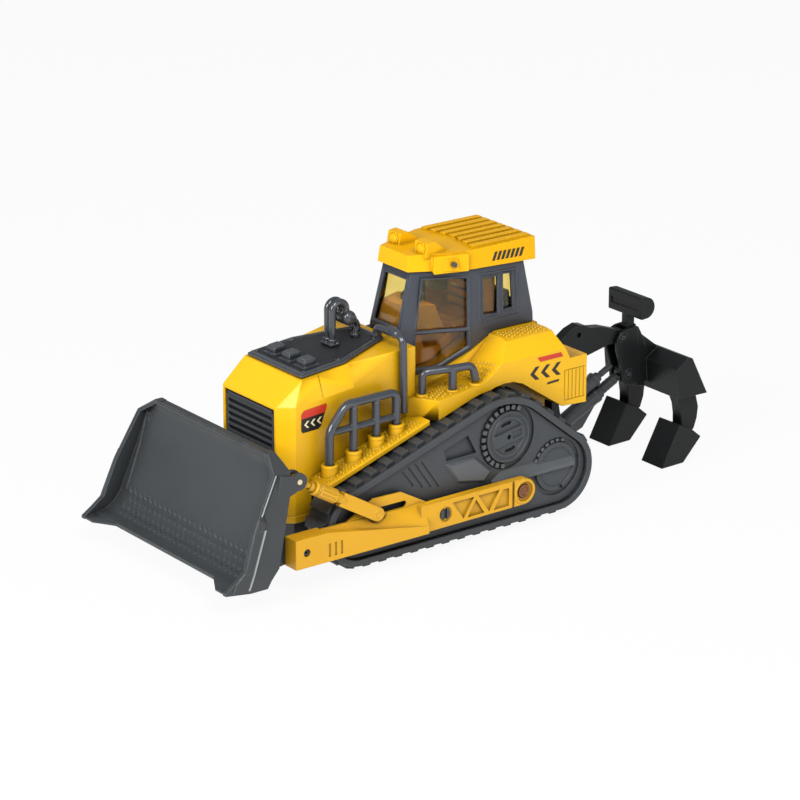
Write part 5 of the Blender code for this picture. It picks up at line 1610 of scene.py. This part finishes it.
# %% [markdown]
# ## Push arms and struts
#
# Each push arm is a long yellow beam that turns on a pin at the rear. Its face
# carries recessed triangles, like a truss, and the strut above it copies a
# hydraulic cylinder: a thin rod, a collar, a fluted barrel and a flat tail
# that slides in the slot of the arm's gusset.

# %% Push arms
TRUSS = ([(13, 9.5), (-3, 9.5), (5, -2.2)], [(-6, 9.5), (-22, 9.5), (-14, -2.2)],
         [(2, -2.2), (-10.5, -2.2), (-4.3, 7.5)],
         [(-17.5, -2.2), (-29, -2.2), (-29, 9.0), (-24.6, 9.0)])
LIFT_PIN, ARM_PLUG = (LIFT_X, LIFT_Z), (18.2, 3.6)
LIFT_PIN_HEAD = 67.9


def build_arm(side):
    word = WORD[side]
    tools = [wall(side, loop, 66.5, 70) for loop in TRUSS]
    tools += [disc(side, LIFT_PIN, [(6.1, 0), (6.1, 4)], 67.0, 40),
              disc(side, ARM_PLUG, [(4.6, 0), (4.6, 4)], 67.2, 32),
              wall(side, rectangle(-31.3, -5.5, -33.0, 13.5), 66.6, 70)]
    ring = disc(side, LIFT_PIN, [(7.7, -1.0), (7.7, 0.3), (7.3, 0.6), (6.4, 0.6), (6.0, 0.3),
                                 (6.0, -1.0)], 67.9, 44)
    recast(f"push_arm_{word}", f"arm_{word}", "arm_yellow", 0.4, tools, [ring])
    x, z = ARM_PLUG
    plug = peg((x, side * 65.4, z), (x, side * 68.0, z), 3.6, 0.4, 28)
    notch = plate([Vector((p, side * 67.4, q)) for p, q in rectangle(x - 1.0, z - 3.9, x + 1.0, z + 3.9)],
                  Vector((0, side, 0)), -0.6, 1.2, 0)
    keep_piece(carve(plug, notch), f"arm_plug_{word}", "cylinder_slate",
               body=body_of(f"push_arm_{word}"))
    repin(f"tilt_pin_{word}", f"tilt_peg_{word}", "gloss_black", 0.35, 0.9)
    ends = from_middle(*span(f"arm_pin_{word}"))
    long = LIFT_PIN_HEAD - abs(ends[0])
    head_form = [(4.3, 0), (4.3, long - 0.4), (3.9, long), (2.9, long), (2.6, long - 0.6),
                 (0, long - 0.6)]
    # The pin head takes the dark brown of painted shade inside the bore.
    keep_piece(turned(head_form, *((LIFT_X, y, LIFT_Z) for y in ends), 36), f"lift_peg_{word}",
               "lift_brown", f"arm_pin_{word}")


mirrored(build_arm)
print("push arm:", made["arm_left"], "faces")


# %% Struts
STRUT_EYE, STRUT_STUD = Vector((123.2, 48.3)), Vector((67.0, 15.0))
STRUT_Y, TAIL_HALF = 66.6, 4.2


def build_strut(side):
    word = WORD[side]
    length = (STRUT_STUD - STRUT_EYE).length
    down = (STRUT_STUD - STRUT_EYE).normalized()
    normal = Vector((-down.y, down.x))

    def spot(share, rise=0.0):
        p = STRUT_EYE.lerp(STRUT_STUD, share) + normal * rise
        return (p.x, side * STRUT_Y, p.y)

    def section(first, last, profile, steps):
        return turned(profile, spot(first), spot(last), steps)

    def cross(point, y0, y1, r, chamfer, steps):
        return peg((point.x, side * y0, point.y), (point.x, side * y1, point.y), r, chamfer, steps)

    rings = [(3.5, 0), (4.3, 0.7)]
    for h in (1.5, 3.0):
        rings += [(4.3, h), (3.9, h + 0.2), (3.9, h + 0.6), (4.3, h + 0.8)]
    rings += [(4.3, 0.27 * length - 0.6), (3.6, 0.27 * length)]
    flutes = []
    for way in spokes(Vector((normal.x, 0, normal.y)), Vector((0, 1, 0)), 10):
        flutes.append(peg(Vector(spot(0.29)) + way * 4.55, Vector(spot(0.455)) + way * 4.55, 0.75, 0.3, 8))
    lean = math.degrees(math.atan2(down.y, down.x))
    tail = [(p[0], p[2]) for p in (spot(0.55, -TAIL_HALF), spot(0.55, TAIL_HALF))]
    tail += reversed(arc(*STRUT_STUD, TAIL_HALF, lean - 90, lean + 90, 12))
    bm = section(0.02, 0.20, [(1.3, 0), (1.6, 0.3), (1.6, 0.17 * length), (1.2, 0.18 * length)], 18)
    merge(bm, section(0.165, 0.23, [(2.3, 0), (2.7, 0.4), (2.7, 2.2), (2.2, 2.5), (2.2, 3.6),
                                    (1.0, 3.9)], 22),
          carve(section(0.21, 0.48, rings, 30), *flutes),
          section(0.46, 0.585, [(2.9, 0), (2.9, 0.125 * length - 0.4), (2.5, 0.125 * length)], 22),
          wall(side, tail, 64.1, 68.9, 0.45),
          disc(side, STRUT_STUD, [(3.5, -0.5), (3.5, 0.1), (3.2, 0.2), (2.2, 0.2), (2.0, -0.1),
                                  (0, -0.1)], 68.9, 28),
          carve(cross(STRUT_EYE, 64.9, 68.3, 3.4, 0.35, 28), cross(STRUT_EYE, 60, 73, 1.85, 0, 24)),
          cross(STRUT_STUD, 62.5, 65, 1.7, 0.2, 20))
    keep_piece(bm, f"strut_rod_{word}", "arm_yellow", f"strut_{word}")
    repin(f"strut_pin_{word}", f"strut_peg_{word}", "pin_cream", 0.35)


mirrored(build_strut)
print("strut:", made["strut_rod_left"], "faces")


# %% [markdown]
# ## Blade
#
# The blade is a curved plate between two end plates. Its front has a thin
# raised line that follows the end plates and the top lip, and near the cutting
# edge a band of low diamonds in rows, as on tread plate. The outer face of each
# end plate carries a raised pad along its front edge, with a pale strip behind
# the pad that is a painted highlight, and a thin black sheet above it that is
# painted shade in place of a groove.

# %% Blade face
FACE = [(135.4, 63.6), (134.6, 57.0), (141.0, 36.0), (149.3, 14.0), (152.0, 6.8), (156.5, 0.8),
        (162.0, -2.4), (168.4, -3.6)]
DIAMOND_ALONG, DIAMOND_ACROSS, DIAMOND_PITCH = 2.7, 1.9, 5.2


def on_blade(y, z, h):
    """Lift from the blade's front face, which leans back and curves."""
    for (x0, z0), (x1, z1) in zip(FACE, FACE[1:]):
        if z1 <= z <= z0:
            t = (z - z0) / (z1 - z0)
            run = Vector((x1 - x0, z1 - z0)).normalized()
            return (x0 + (x1 - x0) * t - run.y * h, y, z + run.x * h)
    raise ValueError(f"height {z} is off the blade's face")


def face_strip(y0, y1, top, foot, rise):
    """A raised strip on the face, split where the face bends."""
    levels = [top] + [z for _, z in FACE if foot < z < top] + [foot]
    return solid([[on_blade(y, z, h) for y, h in ((y0, -0.3), (y0, rise), (y1, rise), (y1, -0.3))]
                  for z in levels], 0.18)


def down_blade(y, run, h):
    """Lift from the face at a distance down from the top lip, along the curve."""
    for (x0, z0), (x1, z1) in zip(FACE, FACE[1:]):
        length = math.hypot(x1 - x0, z1 - z0)
        if run <= length:
            dx, dz = (x1 - x0) / length, (z1 - z0) / length
            return (x0 + dx * run - dz * h, y, z0 + dz * run + dx * h)
        run -= length
    raise ValueError("that is below the cutting edge")


def diamond(y, run):
    """A low four-sided stud on the face."""
    return solid([[down_blade(y + DIAMOND_ALONG * p * size, run - DIAMOND_ACROSS * q * size, h)
                   for p, q in ((-1, 0.5), (0.35, -1), (1, -0.5), (-0.35, 1))]
                  for size, h in ((1.0, -0.2), (1.0, 0.1), (0.45, 0.75))])


print("tread diamonds are", 2 * DIAMOND_ALONG, "mm long")


# %% Blade and its end plates
END_LINE = [(75.1, -12.0), (75.1, 2.0), (71.8, 34.0), (69.4, 55.6)]
END_PADS = ([(148.9, 31.0), (147.9, 28.6), (149.0, 26.0), (155.4, 26.0), (151.9, 32.8)],
            [(149.0, 26.3), (158.9, 2.3), (163.7, 4.6), (155.2, 26.3)],
            [(158.9, 2.3), (162.6, -6.6), (172.4, -5.6), (169.3, 0.2), (163.7, 4.6)])
# Pale strips of painted highlight on the end plates' chamfers.
PAINTED_HIGHLIGHT_STRIPS = ([(147.3, 26.0), (157.2, 2.2), (158.8, 2.2), (148.9, 26.0)],
               [(157.2, 2.2), (160.6, -6.2), (162.2, -6.2), (158.8, 2.2)],
               [(149.4, 34.2), (137.9, 55.2), (138.7, 55.2), (150.3, 34.2)])
# Thin black sheets: painted shade standing for a groove and pocket above the pad.
GROOVE_PAINTED_SHADE = ([(136.7, 55.2), (148.0, 34.2), (149.3, 34.2), (137.8, 55.2)],
              [(148.0, 34.0), (146.6, 30.0), (148.2, 31.6), (149.3, 34.0)])


def end_face(side):
    """Lift from the outer face of an end plate, which leans in towards the top."""
    def lift(x, z, h):
        for (y0, z0), (y1, z1) in zip(END_LINE, END_LINE[1:]):
            if z0 <= z <= z1:
                return (x, side * (y0 + (y1 - y0) * (z - z0) / (z1 - z0) + h), z)
        raise ValueError(f"height {z} is off the end plate")
    return lift


def build_blade():
    relief = [face_strip(-57.0, 57.0, 62.8, 61.2, 0.7)]
    for side in (LEFT, RIGHT):
        relief.append(face_strip(side * 65.4, side * 66.3, 55.4, 9.0, 0.6))
        relief += [patch(pad, -0.3, 0.75, end_face(side), 0.15) for pad in END_PADS]
    for row, run in enumerate((57.0, 61.6, 66.2, 70.8)):
        places = [(k + 0.5 * (row % 2)) * DIAMOND_PITCH for k in range(-12, 13)]
        relief += [diamond(y, run) for y in places if abs(y) < 65.0]
    recast("blade", "blade_plate", "blade_slate", 0.45, (), relief, 25.0)


def build_end_marks(side):
    lift = end_face(side)
    # Pale strips of painted highlight and black sheets of painted shade on each end plate.
    for name, finish, rise, edge, loops in (("wear_strip", "wear_strip", 0.45, 0.1, PAINTED_HIGHLIGHT_STRIPS),
                                            ("end_pocket", "chassis_black", 0.12, 0.0, GROOVE_PAINTED_SHADE)):
        marks = [patch(loop, -0.3, rise, lift, edge) for loop in loops]
        keep_piece(merge(bmesh.new(), *marks), f"{name}_{WORD[side]}", finish, body=body_of("blade"))


build_blade()
mirrored(build_end_marks)
print("blade:", made["blade_plate"], "faces")


# %% [markdown]
# ## Ripper
#
# At the back hangs a ripper: two links one above the other, a fat cylinder
# below and a cranked plate above, a clevis frame with a broad beam, and two
# shanks with wide tooth blocks. A smaller cylinder lies on the lower link. The
# frame and the shanks are built again from their outlines, because thickened
# outlines take a full round where they meet, and the frame is cut lower round
# its upper pin so that the post of the handle bar stands clear.

# %% Ripper links
def pin_centre(place):
    low, high = span(f"ripper_pin_{place}")
    return Vector(((low.x + high.x) / 2, (low.z + high.z) / 2))


LOW_FORE, LOW_AFT, UP_AFT = map(pin_centre, ("lower_front", "lower_rear", "upper_rear"))
RAM_RISE = 9.6
print("lower link:", round((LOW_AFT - LOW_FORE).length, 2), "mm between its pins")


def beside_link(share, above):
    """A point beside the lower link, by its share of the way back and a height above it."""
    way = (LOW_AFT - LOW_FORE).normalized()
    p = LOW_FORE.lerp(LOW_AFT, share) + Vector((way.y, -way.x)) * above
    return (p.x, 0.0, p.y)


def on_link(first, last, profile, above=0.0, steps=30):
    return turned(profile, beside_link(first, above), beside_link(last, above), steps)


def across_pin(centre, half, r, chamfer=0.0, steps=20):
    """A peg across the middle of the toy."""
    return peg((centre.x, -half, centre.y), (centre.x, half, centre.y), r, chamfer, steps)


def build_lower_link():
    long = (LOW_AFT - LOW_FORE).length
    barrel = on_link(0.05, 0.63, [(4.4, 0), (5.0, 0.6), (5.0, 0.44 * long), (4.6, 0.445 * long),
                                  (4.6, 0.46 * long), (5.0, 0.465 * long), (5.0, 0.575 * long),
                                  (4.5, 0.58 * long)])
    rod_rings = [(2.9, 0)]
    for k in range(5):
        rod_rings += [(3.3, 0.4 + k * 3.0), (3.3, 2.2 + k * 3.0), (2.9, 2.5 + k * 3.0), (2.9, 3.2 + k * 3.0)]
    rod = on_link(0.66, 0.93, rod_rings[:-1] + [(2.9, 16.5)])
    collar = on_link(0.60, 0.69, [(4.0, 0), (5.3, 0.5), (5.3, 2.6), (4.3, 3.0), (4.3, 5.4), (3.2, 5.8)])
    bm = bmesh.new()
    for form in (barrel, across_pin(LOW_FORE, 5.05, 4.8, 0.4, 28), across_pin(LOW_AFT, 3.5, 4.6, 0.4, 28),
                 rod, collar):
        merge(bm, carve(form, *(across_pin(p, 9, 1.75) for p in (LOW_FORE, LOW_AFT))))
    web = [beside_link(*place) for place in ((0.05, 0), (0.58, 0), (0.57, -4), (0.34, -11.2), (0.10, -9.3))]
    merge(bm, slab([(p[0], p[2]) for p in web], -2.6, 2.6, 0.5))
    keep_piece(bm, "lower_link", "link_black", "ripper_lower_link")


def build_ram():
    ram = on_link(0.44, 0.68, [(3.6, 0), (4.3, 0.6), (4.3, 7.0), (4.0, 7.2), (4.0, 8.0), (4.3, 8.2),
                               (4.3, 15.0), (3.8, 15.6)], RAM_RISE)
    merge(ram, on_link(0.655, 0.74, [(3.2, 0), (4.9, 0.4), (4.9, 2.2), (3.2, 2.6), (3.2, 5.0),
                                     (2.2, 5.3)], RAM_RISE),
          on_link(0.66, 0.91, [(2.0, 0), (2.0, 6.0), (1.7, 6.2), (1.7, 6.8), (2.0, 7.0), (2.0, 15.8),
                               (1.5, 16.3)], RAM_RISE, 22),
          turned([(1.3, 0), (1.3, 6.6)], beside_link(0.52, 2.2), beside_link(0.52, 9), 18))
    keep_piece(ram, "ripper_ram", "cylinder_slate", "ripper_cylinder")


build_lower_link()
build_ram()
# The hitch, upper link, frame and shanks take the darker black of painted shade.
recast("ripper_mount", "hitch_bracket", "ripper_black", 0.4)
recast("ripper_upper_link", "upper_link", "ripper_black", 0.5)
for place in ("lower_front", "lower_rear", "upper_front", "upper_rear"):
    repin(f"ripper_pin_{place}", f"ripper_peg_{place}", "gloss_black", 0.25, 0.6)


print("lower link:", made["lower_link"], "faces; ram:", made["ripper_ram"])


# %% Ripper frame and shanks
BACK = ((-4.7, -8.8), (-13.2, -10.8), (-15.2, 11.2), (-11.0, 23.0), (-7.4, 29.6), (-1.4, 30.2),
        (-1.4, 9.2), (-4.7, 5.2))
EAR = ((-4.2, 30.4), (2.0, 30.0), (7.4, 28.0), (10.2, 23.6), (10.0, 17.0), (6.3, 5.2), (5.3, -4.8),
       (3.2, -6.6), (-0.2, -7.4), (-6.9, -7.9), (-6.9, 28.0))
BEAM = ((-16.2, -12.3), (-14.2, 7.2), (-23.7, 13.5), (-27.2, 12.5), (-40.1, -12.8))
BEAM_HOLLOW = ((-17.2, -13.4), (-16.0, -9.0), (-36.5, -9.0), (-38.6, -13.4))
NECK = ((-9.2, -4.8), (-7.2, 25.5), (-10.0, 24.2), (-24.2, 13.2), (-19.2, -10.8))
LEG = ((-19.7, -12.9), (-22.4, -19.0), (-23.6, -26.0), (-23.8, -32.8), (-22.2, -35.3), (-30.0, -39.0),
       (-34.6, -37.0), (-37.0, -30.0), (-37.8, -22.8), (-35.2, -12.9))
TIP = ((-3.6, -55.5), (-17.8, -29.5), (-28.7, -34.9), (-35.5, -40.6), (-21.5, -55.2))


def placed(points):
    """Points measured from the lower rear pin."""
    return [(LOW_AFT.x + x, LOW_AFT.y + z) for x, z in points]


def build_ripper_frame():
    bm = slab(placed(BACK), -6.0, 6.0, 0.5)
    for side in (LEFT, RIGHT):
        bores = [across_pin(p, 9, 1.66) for p in (LOW_AFT, UP_AFT)]
        merge(bm, soften(carve(wall(side, placed(EAR), 3.8, 6.35), *bores), 0.5))
        for pin in (LOW_AFT, UP_AFT):
            merge(bm, disc(side, pin, [(3.4, -0.4), (3.4, 0.3), (3.0, 0.55), (1.9, 0.55), (1.66, 0.3),
                                       (1.66, -0.4)], 6.35, 28))
    beam = carve(slab(placed(BEAM), -35.0, 35.0, 0), slab(placed(BEAM_HOLLOW), -32.6, 32.6, 0))
    merge(bm, soften(beam, 0.7), slab(placed(NECK), -5.9, 5.9, 0.5))
    x, z = LOW_AFT.x - 3.7, LOW_AFT.y - 24.8
    merge(bm, brick(x - 2.9, x + 2.9, -2.9, 2.9, 53.5 + z, 65.0 + z, 0.6),
          brick(x - 3.7, x + 3.7, -3.6, 3.6, 53.0 + z, 55.6 + z, 0.5))
    grip = [(x + 3.0, 62.4 + z), (x + 3.0, 75.6 + z), (x + 1.8, 76.0 + z), (x - 1.0, 75.8 + z)]
    grip += arc(x - 1.4, 69.0 + z, 6.8, 100, 260, 16) + [(x - 1.0, 62.2 + z), (x + 1.8, 62.0 + z)]
    slot = slab(rectangle(x + 2.2, 66.8 + z, x + 4, 71.2 + z), -13.4, 13.4, 0)
    merge(bm, soften(carve(slab(grip, -15.7, 15.7, 0), slot), 0.55, 40.0, 3))
    keep_piece(bm, "ripper_beam", "ripper_black", "ripper_frame")


def build_shank(side):
    shank = merge(wall(side, placed(LEG), 21.2, 29.8, 0.7, 3),
                  wall(side, placed(TIP), 15.5, 35.5, 0.6, 3))
    keep_piece(shank, f"shank_{WORD[side]}", "ripper_black", f"ripper_shank_{WORD[side]}")


build_ripper_frame()
mirrored(build_shank)
left_over = [node for node in frame["nodes"] if not frame["nodes"][node].hide_render]
print("pieces so far:", len(made), "- CAD nodes still showing:", left_over)


# %% Finish
low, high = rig.bounds()
json.dump({"cad": [list(cad_low), list(cad_high)], "visual": [list(low), list(high)]},
          open("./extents.json", "w"), indent=1)
print("pieces:", len(made), "faces:", sum(made.values()))
